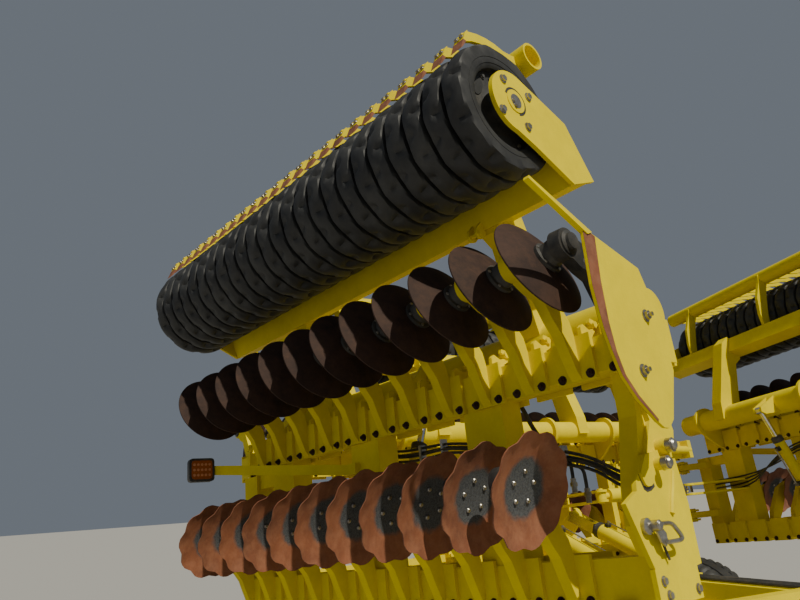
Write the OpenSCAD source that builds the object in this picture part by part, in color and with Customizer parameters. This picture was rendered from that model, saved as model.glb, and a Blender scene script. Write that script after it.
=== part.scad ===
// Folding disc harrow with rubber ring packers, standing folded on its transport wheels.
// Each section is drawn as it works on level ground, X forwards, and is then tilted and folded.

/* [Sections] */
// Distance between neighbouring discs of one row
disc_pitch = 250; // [240:1:260]
// Number of front discs on one half of the centre section
centre_front_count = 9; // [8:1:10]
// Number of front discs on one wing
wing_front_count = 11; // [9:1:12]
// Number of rear discs on one half of the centre section
centre_rear_count = 9; // [8:1:9]
// Number of rear discs on one wing
wing_rear_count = 12; // [10:1:13]
// Distance from the middle plane to the first rear disc
rear_first_y = 186.5; // [180:0.5:200]
// Height of the disc centres above the ground at work
disc_z = 300; // [290:1:320]

/* [Discs] */
// Diameter of a worn disc
disc_d = 455; // [430:1:470]
// Thickness of a disc
disc_t = 6; // [5:0.5:8]
// Depth of a disc's dish
disc_dish = 45; // [35:1:55]
// Diameter of the flat middle of a disc
disc_flat_d = 150; // [120:1:170]
// Angle of the front discs to the way of travel
front_angle = 20.35; // [15:0.05:22]
// Angle of the rear discs to the way of travel
rear_angle = 20.2; // [15:0.05:22]
// Number of notches round a front disc
notch_count = 10; // [8:1:12]
// Radius of a notch
notch_r = 42; // [35:1:50]
// Depth that a notch cuts into the rim
notch_depth = 14; // [8:1:18]
// Distance from the front row back to the rear row
row_gap = 835; // [800:5:870]
// How far the rear discs stand above the front ones at work
rear_row_rise = 19; // [0:1:30]
// Diameter of a disc's hub
hub_d = 104; // [90:1:120]
// Length of a disc's hub
hub_l = 84; // [70:1:95]
// Thickness of the arm that carries a hub
arm_w = 50; // [40:1:60]

/* [Frame] */
// Height of a disc beam's tube
beam_h = 150; // [130:5:170]
// Width of a disc beam's tube, along the way of travel
beam_w = 150; // [130:5:170]
// Height of the beam's middle above the disc centres
beam_rise = 430; // [420:5:450]
// How far the front beam lies ahead of its discs
front_beam_ahead = 345; // [330:5:370]
// How far the rear beam lies ahead of its discs
rear_beam_ahead = 315; // [300:5:340]
// Width of a post that joins the two beams
post_w = 240; // [200:5:260]
// Height of a post
post_h = 140; // [110:5:150]
// Width of a clamp that holds a disc arm on its beam
clamp_w = 190; // [160:5:215]
// Thickness of a clamp's plates
clamp_t = 22; // [16:1:28]

/* [Packer] */
// Distance between neighbouring rubber rings
ring_pitch = 125; // [120:1:130]
// Number of rings on one half of the centre packer
centre_ring_count = 16; // [13:1:16]
// Number of rings on a wing's packer
wing_ring_count = 24; // [20:1:24]
// Diameter of a rubber ring
ring_d = 627; // [600:1:640]
// Width of a rubber ring
ring_w = 106; // [96:1:112]
// Diameter of the steel drum that carries the rings
drum_d = 380; // [330:5:420]
// Distance from the front row back to the packer's axis
packer_back = 1601; // [1560:1:1640]
// How far the packer's axis lies above the disc centres
packer_rise = 27; // [15:1:40]
// Diameter of the packer's shaft
packer_shaft_d = 70; // [60:1:80]
// Thickness of a bearing plate
bearing_t = 20; // [15:1:25]
// Distance from the front row back to the packer beam
packer_beam_back = 1397; // [1380:1:1405]
// Height of the packer beam above the disc centres
packer_beam_rise = 415; // [410:1:430]
// Side of the packer beam's square tube
packer_beam_s = 150; // [140:1:155]
// Angle that the packer beam is turned by, so that one side lies along the rings
packer_beam_turn = 20.4; // [18:0.1:23]
// Distance from the front row back to the scraper tube
scraper_back = 1983; // [1970:1:1995]
// Height of the scraper tube above the disc centres
scraper_rise = 284; // [275:1:295]
// Diameter of the scraper tube
scraper_tube_d = 140; // [127:1:150]
// Thickness of a scraper's curved arm
scraper_t = 16; // [12:1:20]
// Depth of a scraper's curved arm, from the rings outwards
scraper_h = 48; // [40:1:55]
// Distance between a ring and a scraper's curved arm
scraper_gap = 32; // [28:1:40]
// Width of a scraper's tip
scraper_w = 60; // [50:1:70]
// Diameter of the tube that the packer swings on
pivot_tube_d = 200; // [180:1:220]
// Distance from the front row back to the pivot tube
pivot_back = 720; // [700:5:740]
// Height of the pivot tube above the disc centres
pivot_rise = 660; // [640:5:680]

/* [Folding] */
// Angle that the sections lean back from level work to transport
tilt = 85; // [80:0.5:88]
// Angle that a wing folds from level work to transport
fold = 101.6; // [95:0.1:105]
// Distance from the centre section's outermost front disc in to a wing's hinge axis
hinge_inset = 25; // [15:5:35]
// Height of a wing's hinge axis above the ground at work
hinge_z = 980; // [970:5:1000]
// Distance from the front discs forwards to the tilt axis
tilt_x = 520; // [500:5:540]
// Height of the tilt axis above the ground
tilt_z = 1000; // [980:5:1020]
// Diameter of the tilt tube
tilt_tube_d = 150; // [130:5:160]

/* [Transport] */
// Diameter of a transport wheel
wheel_d = 1070; // [1000:10:1100]
// Width of a transport wheel
wheel_w = 400; // [350:10:420]
// Distance between the two wheels of a pair
wheel_gap = 560; // [540:5:600]
// Distance from the middle plane to a wheel arm
wheel_arm_y = 1000; // [900:10:1050]
// Distance from the tilt axis forwards to the axles
axle_ahead = 580; // [560:5:620]
// Length of the drawbar from the tilt axis to the hitch eye
drawbar_l = 5300; // [5000:50:5600]
// Height of the hitch eye above the ground
hitch_z = 520; // [450:10:560]
// Bore of the hitch eye
hitch_bore_d = 50; // [40:1:60]
// Distance from the tilt axis to the parking jack
jack_ahead = 4300; // [4000:20:4500]

/* [Hidden] */

front_beam_x = front_beam_ahead;
rear_row_x = -row_gap;
rear_beam_x = rear_row_x + rear_beam_ahead;
beam_z = disc_z + beam_rise;
beam_top = beam_z + beam_h / 2;
beam_base = beam_z - beam_h / 2;
post_top = beam_z + post_h / 2;
rear_disc_z = disc_z + rear_row_rise;
packer_x = -packer_back;
packer_z = disc_z + packer_rise;
packer_beam_x = -packer_beam_back;
packer_beam_z = disc_z + packer_beam_rise;
scraper_x = -scraper_back;
scraper_z = disc_z + scraper_rise;
pivot_x = -pivot_back;
pivot_z = disc_z + pivot_rise;

// Places along a row: the first disc of each kind and how many there are on one side
front_first_y = disc_pitch;
wing_front_y = front_first_y + centre_front_count * disc_pitch;
wing_rear_y = rear_first_y + centre_rear_count * disc_pitch;
wing_ring_y = (centre_ring_count + 2) * ring_pitch;

// An arm stands beside its disc, behind the dished side
arm_shift = disc_dish + hub_l;
function front_arm_y(disc_y) = disc_y - arm_shift;
function rear_arm_y(disc_y) = disc_y + arm_shift;

// Each beam reaches a little past its outermost clamp, and the hinge axis lies between the front beams
centre_front_end = front_arm_y(wing_front_y - disc_pitch) + clamp_w / 2 + 2;
centre_rear_end = rear_arm_y(wing_rear_y - disc_pitch) + clamp_w / 2 + 1.5;
hinge_y = wing_front_y - disc_pitch - hinge_inset;
wing_front_start = hinge_y + 37;
wing_rear_start = centre_rear_end + 43;
tip_y = rear_arm_y(wing_rear_y + (wing_rear_count - 1) * disc_pitch) + clamp_w / 2 + 4.5;
hook_y = tip_y - 165;

// Tilts a section that is drawn for level work back to transport
module leaned() {
    translate([tilt_x, 0, tilt_z]) rotate([0, tilt, 0]) translate([-tilt_x, 0, -tilt_z]) children();
}

// Folds a left wing and leans it back; a side of -1 mirrors it to the right
module wing(side) {
    mirror([0, side < 0 ? 1 : 0, 0])
        leaned()
        translate([0, hinge_y, hinge_z]) rotate([fold, 0, 0]) translate([0, -hinge_y, -hinge_z])
        children();
}

// Draws a piece on the left and its mirror image on the right
module both_sides() {
    children();
    mirror([0, 1, 0]) children();
}

// Where a point of the level left wing stands once folded and leaned
function folded_y(p) = hinge_y + (p[1] - hinge_y) * cos(fold) - (p[2] - hinge_z) * sin(fold);
function folded_z(p) = hinge_z + (p[1] - hinge_y) * sin(fold) + (p[2] - hinge_z) * cos(fold);
function leaned_point(p) = [
    tilt_x + (p[0] - tilt_x) * cos(tilt) + (p[2] - tilt_z) * sin(tilt),
    p[1],
    tilt_z - (p[0] - tilt_x) * sin(tilt) + (p[2] - tilt_z) * cos(tilt)
];

module slab(x0, x1, y0, y1, z0, z1) {
    translate([x0, y0, z0]) cube([x1 - x0, y1 - y0, z1 - z0]);
}

// An outline of X and Z points as a plate of thickness t, centred on y
module side_plate(points, t, y) {
    translate([0, y + t / 2, 0]) rotate([90, 0, 0]) linear_extrude(t) polygon(points);
}

// A round bar or boss across the way of travel, centred on y
module cross_bar(x, y, z, d, l) {
    translate([x, y + l / 2, z]) rotate([90, 0, 0]) cylinder(d = d, h = l, $fn = 48);
}

// A round bar or boss along the way of travel, centred on x
module long_bar(x, y, z, d, l) {
    translate([x - l / 2, y, z]) rotate([0, 90, 0]) cylinder(d = d, h = l, $fn = 48);
}

// One disc with its middle at the origin and its hollow side towards +Z
dish_steps = 6;
function dish_point(r, lift) = [r, lift - disc_dish * (1 - (pow(r, 2) - pow(disc_flat_d / 2, 2))
    / (pow(disc_d / 2, 2) - pow(disc_flat_d / 2, 2)))];
module disc_blank() {
    radii = [for (i = [0 : dish_steps]) disc_flat_d / 2 + (disc_d - disc_flat_d) / 2 * i / dish_steps];
    rotate_extrude($fn = 72) polygon(concat(
        [[0, -disc_dish - disc_t], dish_point(disc_flat_d / 2, -disc_t)],
        [for (i = [1 : dish_steps]) dish_point(radii[i], -disc_t)],
        [for (i = [dish_steps : -1 : 1]) dish_point(radii[i], 0)],
        [dish_point(disc_flat_d / 2, 0), [0, -disc_dish]]
    ));
}
module wavy_disc() {
    difference() {
        disc_blank();
        for (i = [0 : notch_count - 1])
            rotate([0, 0, 360 * i / notch_count])
                translate([disc_d / 2 - notch_depth + notch_r, 0, -disc_dish - 2 * disc_t])
                cylinder(r = notch_r, h = disc_dish + 4 * disc_t, $fn = 24);
    }
}

// Turns a disc or its hub so that its hollow side faces outwards and forwards, or inwards and forwards
module turned_front(y) {
    translate([0, y, disc_z]) rotate([0, 0, -front_angle]) rotate([-90, 0, 0]) children();
}
module turned_rear(y) {
    translate([rear_row_x, y, rear_disc_z]) rotate([0, 0, rear_angle - 180]) rotate([-90, 0, 0]) children();
}
module hub() {
    translate([0, 0, -disc_dish - disc_t - hub_l]) cylinder(d = hub_d, h = hub_l, $fn = 36);
}

module front_discs(first_y, count) {
    color("sienna") for (i = [0 : count - 1]) turned_front(first_y + i * disc_pitch) wavy_disc();
}
module rear_discs(first_y, count) {
    color("dimgray") for (i = [0 : count - 1]) turned_rear(first_y + i * disc_pitch) disc_blank();
}

// One bent arm: from the clamp under a beam back and down to the hub, in an S
arm_hub_r = hub_d / 2 + 10;
function arm_outline(bx, fz, hx, hz) = [
    [bx + 92, fz], [bx + 60, fz - 24], [bx - 20, fz - 58], [bx - 92, fz - 86], [bx - 150, fz - 130],
    [hx + 118, hz + 132], [hx + 92, hz + 64], [hx + arm_hub_r * 0.9, hz + arm_hub_r * 0.1],
    [hx - arm_hub_r * 0.7, hz + arm_hub_r * 0.5], [hx - 12, hz + 108], [hx + 18, hz + 172],
    [bx - 218, fz - 58], [bx - 160, fz - 14], [bx - 100, fz]
];
module arm(beam_x, hub_x, hub_z, y) {
    side_plate(arm_outline(beam_x, beam_base - clamp_t, hub_x, hub_z), arm_w, y);
    cross_bar(hub_x, y, hub_z, 2 * arm_hub_r, arm_w);
}
// One clamp: a plate under the beam, a plate on top and a strap on the side away from the posts
module clamp(beam_x, y, away) {
    reach = beam_w / 2 + clamp_t;
    strap_x = beam_x + away * (reach - clamp_t / 2);
    for (z = [beam_base - clamp_t, beam_top])
        slab(beam_x - reach, beam_x + reach, y - clamp_w / 2, y + clamp_w / 2, z, z + clamp_t);
    slab(strap_x - clamp_t / 2, strap_x + clamp_t / 2, y - clamp_w / 3, y + clamp_w / 3,
        beam_base - clamp_t, beam_top + clamp_t);
}
// A hooked lug behind a clamp of the rear row, with a bolt in its bend
hook_t = 18;
module clamp_hook(beam_x, y) {
    back = beam_x - beam_w / 2 - clamp_t;
    side_plate([
        [back + 4, beam_base - clamp_t], [back + 4, beam_base + 52], [back - 22, beam_base + 104],
        [back - 52, beam_base + 112], [back - 76, beam_base + 92], [back - 80, beam_base + 62],
        [back - 62, beam_base + 56], [back - 50, beam_base + 78], [back - 34, beam_base + 76],
        [back - 26, beam_base + 40], [back - 46, beam_base], [back - 30, beam_base - clamp_t]
    ], hook_t, y);
    cross_bar(back - 52, y, beam_base + 84, 30, hook_t + 24);
}
module front_arms(first_y, count) {
    color("gold") for (i = [0 : count - 1]) {
        y = first_y + i * disc_pitch;
        clamp(front_beam_x, front_arm_y(y), 1);
        arm(front_beam_x, -arm_shift * sin(front_angle), disc_z, front_arm_y(y));
        turned_front(y) hub();
    }
}
module rear_arms(first_y, count) {
    color("gold") for (i = [0 : count - 1]) {
        y = first_y + i * disc_pitch;
        clamp(rear_beam_x, rear_arm_y(y), -1);
        clamp_hook(rear_beam_x, rear_arm_y(y) + clamp_w / 3 - hook_t / 2);
        arm(rear_beam_x, rear_row_x - arm_shift * sin(rear_angle), rear_disc_z, rear_arm_y(y));
        turned_rear(y) hub();
    }
}

module beam(x, y0, y1) {
    color("gold") slab(x - beam_w / 2, x + beam_w / 2, y0, y1, beam_base, beam_top);
}
// Posts run between the beams; each row is its centre's y, its width and its gap to the rear beam
module posts(rows) {
    color("gold") for (row = rows)
        slab(rear_beam_x + beam_w / 2 + row[2], front_beam_x - beam_w / 2,
            row[0] - row[1] / 2, row[0] + row[1] / 2, beam_z - post_h / 2, post_top);
}
centre_posts = [[600, post_w, 0], [1400, post_w, 0], [hinge_y - 135, 160, 0]];
wing_posts = [
    [hinge_y + 115, 160, 45], [hinge_y + 525, post_w, 0], [hinge_y + 1375, post_w, 0],
    [hinge_y + 2275, post_w, 0]
];
// The wing's first post ends short of the rear beam and is braced on the next one
module wing_brace() {
    x0 = rear_beam_x + beam_w / 2 + wing_posts[0][2];
    color("gold") slab(x0, x0 + 90, wing_posts[0][0], wing_posts[1][0], beam_z - 45, beam_z + 45);
}

// Plates that stand in the gaps between the clamps
plate_t = 30;
front_gap_y = disc_pitch - arm_shift + disc_pitch / 2;
rear_gap_y = rear_first_y + arm_shift - disc_pitch / 2;
run = 0.08;
tilt_boss_r = 120;

// The upright that the sections tilt on, in outline; with_lug adds the arm for the tilt cylinder
tilt_pin = [70, 1350];
module tilt_plate(y, with_lug) {
    translate([0, y + plate_t / 2, 0]) rotate([90, 0, 0]) linear_extrude(plate_t) difference() {
        union() {
            translate([tilt_x, tilt_z]) circle(r = tilt_boss_r, $fn = 64);
            polygon([
                [front_beam_x - beam_w / 2, beam_top], [front_beam_x + beam_w / 2, beam_top],
                [front_beam_x + beam_w / 2, beam_z], [front_beam_x + beam_w / 2 + 40, beam_z],
                [tilt_x + 100, tilt_z - 66], [tilt_x - 40, tilt_z + 113],
                [front_beam_x - beam_w / 2, beam_top + 90]
            ]);
            if (with_lug) {
                translate(tilt_pin) circle(r = 60, $fn = 48);
                polygon([
                    [front_beam_x - beam_w / 2, beam_top], [front_beam_x + beam_w / 2, beam_top],
                    [tilt_x - 40, tilt_z + 113], [tilt_x - 190, tilt_z + 90],
                    [tilt_pin[0] + 58, tilt_pin[1] + 12], [tilt_pin[0] - 58, tilt_pin[1] - 15]
                ]);
            }
        }
        translate([tilt_x, tilt_z]) circle(r = tilt_tube_d / 2 + run, $fn = 64);
    }
}

// A plate on the rear beam that carries the packer's pivot tube
module pivot_plate(y) {
    back = rear_beam_x - beam_w / 2;
    translate([0, y + plate_t / 2, 0]) rotate([90, 0, 0]) linear_extrude(plate_t) difference() {
        union() {
            translate([pivot_x, pivot_z]) circle(r = pivot_tube_d / 2 + 40, $fn = 64);
            polygon([
                [back, beam_z - 30], [back, beam_top], [rear_beam_x + beam_w / 2, beam_top],
                [rear_beam_x + 30, beam_top + 90], [pivot_x + 115, pivot_z + 80],
                [pivot_x - 120, pivot_z - 70], [back - 60, beam_z - 30]
            ]);
        }
        translate([pivot_x, pivot_z]) circle(r = pivot_tube_d / 2 + run, $fn = 64);
    }
}

// A pair of plates on a post's top; rows: x of the pair's middle, base y from, base y to, pin y, pin z
module pin_plates(x, y0, y1, pin_y, pin_z, gap, t, r) {
    for (side = [-1, 1])
        translate([x + side * (gap + t) / 2 - t / 2, 0, 0]) rotate([90, 0, 90]) linear_extrude(t) union() {
            translate([pin_y, pin_z]) circle(r = r, $fn = 48);
            polygon([
                [y0, post_top], [y1, post_top],
                pin_y > y1 - 20 ? [y1 + 20, post_top + 30] : [y1, post_top + 30],
                [pin_y + r * 0.8, pin_z - r * 0.6], [pin_y - r * 0.8, pin_z + r * 0.6],
                pin_y < y0 + 20 ? [y0 - 20, post_top + 30] : [y0, post_top + 30]
            ]);
        }
}
// The same for pins that lie across the way of travel; the plates stand either side of y
module cross_pin_plates(y, x0, x1, pin_x, pin_z, gap, t, r, pin_d) {
    for (side = [-1, 1])
        side_plate([
            [x0, post_top], [x1, post_top], [pin_x + r * 0.9, pin_z - r * 0.4],
            [pin_x + r * 0.5, pin_z + r * 0.87], [pin_x - r * 0.5, pin_z + r * 0.87],
            [pin_x - r * 0.9, pin_z - r * 0.4]
        ], t, y + side * (gap + t) / 2);
    if (pin_d > 0) cross_bar(pin_x, y, pin_z, pin_d, gap + 2 * t + 30);
}

// Places along the section's rows
centre_ram_y = 1400;
wing_ram_y = hinge_y + 1375;
centre_tilt_gaps = [0, 2, 4];
hinge_xs = [150, -325];
hinge_pin_d = 60;
fold_x = -90;
fold_barrel_pin = [600, 1330];
fold_rod_pin = [hinge_y + 415, 1330];
packer_lever = [60, 230];
packer_ram_pin = [100, 880];
ram_eye_w = 60;

module centre_brackets() {
    color("gold") {
        both_sides() {
            for (i = centre_tilt_gaps) tilt_plate(front_gap_y + i * disc_pitch, i == 0);
            for (i = [1, 4, 7]) pivot_plate(rear_gap_y + i * disc_pitch);
            for (x = hinge_xs) {
                pin_plates(x, hinge_y - 215, hinge_y - 55, hinge_y, hinge_z, 70, 20, 60);
                long_bar(x, hinge_y, hinge_z, hinge_pin_d, 130);
            }
            pin_plates(fold_x, 500, 700, fold_barrel_pin[0], fold_barrel_pin[1], 64, 20, 60);
            long_bar(fold_x, fold_barrel_pin[0], fold_barrel_pin[1], 50, 130);
            cross_pin_plates(centre_ram_y, 20, 240, packer_ram_pin[0], packer_ram_pin[1],
                ram_eye_w + 6, 15, 45, 40);
        }
    }
}
module wing_brackets() {
    color("gold") {
        for (i = [10, 15, 20]) pivot_plate(rear_gap_y + i * disc_pitch);
        for (x = hinge_xs)
            translate([x - 30, 0, 0]) rotate([90, 0, 90]) linear_extrude(60) difference() {
                union() {
                    translate([hinge_y, hinge_z]) circle(r = 60, $fn = 48);
                    polygon([
                        [wing_front_start, post_top], [hinge_y + 195, post_top],
                        [hinge_y + 195, post_top + 40],
                        [hinge_y + 50, hinge_z + 35],
                        [hinge_y - 45, hinge_z - 40], [wing_front_start, post_top + 60]
                    ]);
                }
                translate([hinge_y, hinge_z]) circle(r = hinge_pin_d / 2 + run, $fn = 48);
            }
        pin_plates(fold_x, hinge_y + 410, hinge_y + 640, fold_rod_pin[0], fold_rod_pin[1], ram_eye_w + 10, 20, 60);
        cross_pin_plates(wing_ram_y, 20, 240, packer_ram_pin[0], packer_ram_pin[1],
            ram_eye_w + 6, 15, 45, 40);
    }
}

// The swinging frame of a packer: pivot tube, box arms, beam, bearing plates and cylinder levers.
// A point of the turned beam's section, from its middle: forwards and up in halves of its side
function beam_point(f, u) = [
    packer_beam_x + packer_beam_s / 2 * (f * cos(packer_beam_turn) - u * sin(packer_beam_turn)),
    packer_beam_z + packer_beam_s / 2 * (f * sin(packer_beam_turn) + u * cos(packer_beam_turn))
];
module packer_arm(y) {
    side_plate([
        [pivot_x + 30, pivot_z + 125], [pivot_x - 130, pivot_z + 110],
        beam_point(0.1, 2.1), beam_point(-1.1, 1.35),
        beam_point(-0.9, 0.2), beam_point(0.9, -0.8), beam_point(1.35, -0.95), beam_point(2.3, -0.3),
        [pivot_x - 80, pivot_z - 110], [pivot_x + 30, pivot_z - 80]
    ], 120, y);
}
// A loose pair of lugs below the beam, with a bolt through them
module rest_lugs(y) {
    for (side = [-1, 1]) side_plate([
        beam_point(0.3, -0.9), beam_point(1, -0.4), beam_point(1.5, -1.35), beam_point(1.45, -1.75),
        beam_point(1.05, -1.9), beam_point(0.7, -1.7)
    ], 14, y + side * 26);
    bolt_at = beam_point(1.1, -1.55);
    cross_bar(bolt_at[0], y, bolt_at[1], 24, 80);
}
module bearing_plate(y) {
    translate([0, y + bearing_t / 2, 0]) rotate([90, 0, 0]) linear_extrude(bearing_t) difference() {
        union() {
            translate([packer_x, packer_z]) circle(r = 150, $fn = 64);
            polygon([
                [packer_x + 122, packer_z - 88], [packer_x + 193, packer_z + 100], beam_point(1.02, -1.02),
                beam_point(1.02, 1.5), [packer_x - 24, packer_z + 365], [packer_x - 137, packer_z + 61]
            ]);
        }
        translate([packer_x, packer_z]) circle(r = packer_shaft_d / 2 + run, $fn = 48);
    }
}
// The tubes' sides, pivot and beam, each from and to; then the middles of arms, plates, levers and lugs
module packer_frame(tube_y0, tube_y1, beam_y0, beam_y1, arm_ys, plate_ys, lever_ys, rest_ys) {
    color("gold") {
        cross_bar(pivot_x, (tube_y0 + tube_y1) / 2, pivot_z, pivot_tube_d, tube_y1 - tube_y0);
        side_plate([beam_point(-1, -1), beam_point(1, -1), beam_point(1, 1), beam_point(-1, 1)],
            beam_y1 - beam_y0, (beam_y0 + beam_y1) / 2);
        for (y = arm_ys) packer_arm(y);
        for (y = rest_ys) rest_lugs(y);
        for (y = plate_ys) bearing_plate(y);
        for (y = lever_ys) for (side = [-1, 1])
            side_plate([
                [pivot_x - 70, pivot_z + 60], [pivot_x + 85, pivot_z + 40],
                [pivot_x + packer_lever[0] + 40, pivot_z + packer_lever[1] - 10],
                [pivot_x + packer_lever[0] + 20, pivot_z + packer_lever[1] + 36],
                [pivot_x + packer_lever[0] - 20, pivot_z + packer_lever[1] + 36],
                [pivot_x + packer_lever[0] - 40, pivot_z + packer_lever[1]]
            ], 15, y + side * (ram_eye_w / 2 + 11));
    }
}

// The scrapers: a tube behind the rings, plates that hold it on the beam and a curved arm over each ring.
// A point round the packer's axis: distance from the rings outwards, and angle from straight ahead upwards
function round_point(out, a) = [
    packer_x + (ring_d / 2 + out) * cos(a), packer_z + (ring_d / 2 + out) * sin(a)
];
module scraper_blade(y) {
    far = scraper_gap + scraper_h;
    side_plate(concat(
        [round_point(110, 144), round_point(150, 150), round_point(far + 24, 156)],
        [for (a = [164 : 9 : 200]) round_point(far, a)],
        [round_point(far - 10, 209), round_point(scraper_gap, 210)],
        [for (a = [200 : -9 : 164]) round_point(scraper_gap, a)],
        [round_point(scraper_gap + 14, 155), round_point(scraper_gap + 38, 147)]
    ), scraper_t, y);
    side_plate([
        round_point(far - 8, 206), round_point(far - 18, 210), round_point(7, 226), round_point(7, 223.5),
        round_point(scraper_gap + 6, 208)
    ], scraper_w, y);
}
module scrapers(tube_y0, tube_y1, first_ring, count, holder_ys) {
    color("gold") {
        difference() {
            cross_bar(scraper_x, (tube_y0 + tube_y1) / 2, scraper_z, scraper_tube_d, tube_y1 - tube_y0);
            for (y = [tube_y0, tube_y1]) cross_bar(scraper_x, y, scraper_z, scraper_tube_d - 24, 160);
        }
        for (i = [0 : count - 1]) scraper_blade(first_ring + i * ring_pitch);
        for (y = holder_ys)
            side_plate([
                beam_point(-1.003, 0.9), beam_point(-1.003, -0.1), [packer_x, packer_z + ring_d / 2 + 22],
                round_point(30, 120), round_point(70, 137), [scraper_x - 10, scraper_z - 60],
                [scraper_x - 74, scraper_z], [scraper_x - 20, scraper_z + 74],
                [scraper_x + 60, scraper_z + 90],
                [packer_x - 160, packer_z + ring_d / 2 + 105], [packer_x, packer_z + ring_d / 2 + 125]
            ], 30, y);
    }
}

// One packer as a single turning piece: shaft, drum and rubber rings
module packer_roll(first_ring, count, shaft_y0, shaft_y1) {
    drum_y0 = first_ring - ring_w / 2;
    drum_y1 = first_ring + (count - 1) * ring_pitch + ring_w / 2;
    color("dimgray") translate([packer_x, 0, packer_z]) rotate([-90, 0, 0])
        rotate_extrude($fn = 96) polygon(concat(
        [[0, shaft_y0], [packer_shaft_d / 2, shaft_y0], [packer_shaft_d / 2, drum_y0]],
        [for (i = [0 : count - 1]) for (corner = [
            [drum_d / 2, -ring_w / 2], [ring_d / 2 - 30, -ring_w / 2], [ring_d / 2, -ring_w / 5],
            [ring_d / 2, ring_w / 5], [ring_d / 2 - 30, ring_w / 2], [drum_d / 2, ring_w / 2]
        ]) [corner[0], first_ring + i * ring_pitch + corner[1]]],
        [[packer_shaft_d / 2, drum_y1], [packer_shaft_d / 2, shaft_y1], [0, shaft_y1]]
    ));
}

// The tip of a wing: a box between the beams with the hook plate on it, and the deflector beyond
hook_plate_t = 20;
deflector_y = tip_y + 9;
deflector_t = 12;
module end_frame() {
    rear_face = rear_beam_x + beam_w / 2;
    front_face = front_beam_x - beam_w / 2;
    color("gold") {
        side_plate([
            [rear_face, 720], [-250, 715], [20, 625], [160, 600], [front_face, beam_base],
            [front_face, beam_top],
            [-83, 860], [-300, 850], [rear_face + 32, beam_top], [rear_face, beam_top]
        ], 80, hook_y - 40);
        side_plate([
            [rear_face, 700], [-230, 775], [-100, 692], [24, 604], [60, 520], [83, 470], [313, 580],
            [316, 655],
            [330, 655], [330, 852], [322, 931], [98, 938], [-83, 910], [-194, 952], [-320, 920],
            [rear_face + 32, beam_top], [rear_face, beam_top]
        ], hook_plate_t, hook_y + hook_plate_t / 2);
        side_plate([
            [front_beam_x + beam_w / 2 + 20, 575], [front_beam_x + beam_w / 2 + 20, 890], [322, 890],
            [312, 575]
        ], hook_plate_t, hook_y + hook_plate_t / 2);
        side_plate([
            [-610, 560], [-430, 500], [-345, 470], [-345, 540], [-430, 600], [-430, beam_top],
            [-610, beam_top]
        ], 9, tip_y + 4.5);
        for (row = [[-123, 793, 60], [-55, 729, 50]]) cross_bar(row[0], hook_y + 30, row[1], row[2], 60);
        for (z = [830, 1010]) side_plate([
            [-150, z - 14], [-80, z - 14], [-80, z + 14], [-150, z + 14]
        ], 50, hook_y + 20);
        translate([-112, hook_y + 32, 800]) cylinder(d = 30, h = 222, $fn = 32);
        side_plate([
            [-150, 850], [-80, 850], [-80, 1024], [-150, 1024]
        ], 12, hook_y + 6);
    }
    color("gold") side_plate([
        [-898, 278], [-800, 636], [-693, 679], [-623, 753], [-588, 733], [-574, 713], [-389, 732],
        [-195, 639],
        [-161, 594], [-162, 557], [-181, 520], [-258, 412], [-335, 341], [-420, 308], [-506, 282],
        [-667, 265]
    ], deflector_t, deflector_y + deflector_t / 2);
    // The tine that drags behind the deflector
    color("gold") side_plate([
        [-870, 300], [-884, 330], [-1022, -12], [-1010, -18]
    ], 24, deflector_y + deflector_t - 6);
}

// A lamp on a flat bar below the posts, pointing out sideways once the wing is folded
lamp_at = [-457, hinge_y + 87, 305];
lamp_foot = [-290, hinge_y + 1255, 628];
module lamp() {
    color("dimgray") {
        hull() for (p = [lamp_at, lamp_foot]) translate(p) cube([60, 12, 12], center = true);
        slab(lamp_foot[0] - 30, lamp_foot[0] + 30, lamp_foot[1] - 6, lamp_foot[1] + 70, lamp_foot[2] - 6,
            beam_z - post_h / 2);
        translate(lamp_at) rotate([-11.6, 0, 0]) cube([150, 60, 165], center = true);
    }
}

// Everything below stands on the transport wheels, in the way it stands in the photograph
box_x0 = 700;
box_x1 = 860;
box_y = 500;
axle_x = tilt_x + axle_ahead;
axle_z = wheel_d / 2;
module carriage() {
    color("gold") {
        cross_bar(tilt_x, 0, tilt_z, tilt_tube_d, 2600);
        slab(box_x0, box_x1, -box_y, box_y, tilt_z - 90, tilt_z + 60);
        both_sides() {
            for (row = [[100, 80], [400, 80]])
                side_plate([
                    [tilt_x, tilt_z - 100], [tilt_x + 60, tilt_z - 90], [box_x0, tilt_z - 90],
                    [box_x0, tilt_z + 60],
                    [tilt_x + 60, tilt_z + 90], [tilt_x, tilt_z + 95], [tilt_x - 70, tilt_z + 65],
                    [tilt_x - 70, tilt_z - 65]
                ], row[1], row[0]);
            side_plate([
                [tilt_x - 60, tilt_z + 80], [tilt_x + 60, tilt_z + 85], [axle_x + 90, axle_z + 60],
                [axle_x + 80, axle_z - 50], [axle_x, axle_z - 90], [axle_x - 80, axle_z - 40],
                [tilt_x - 70, tilt_z - 70]
            ], 100, wheel_arm_y);
            cross_bar(axle_x, wheel_arm_y, axle_z, 80, 2 * (wheel_gap / 2 + 150));
        }
    }
}

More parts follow.
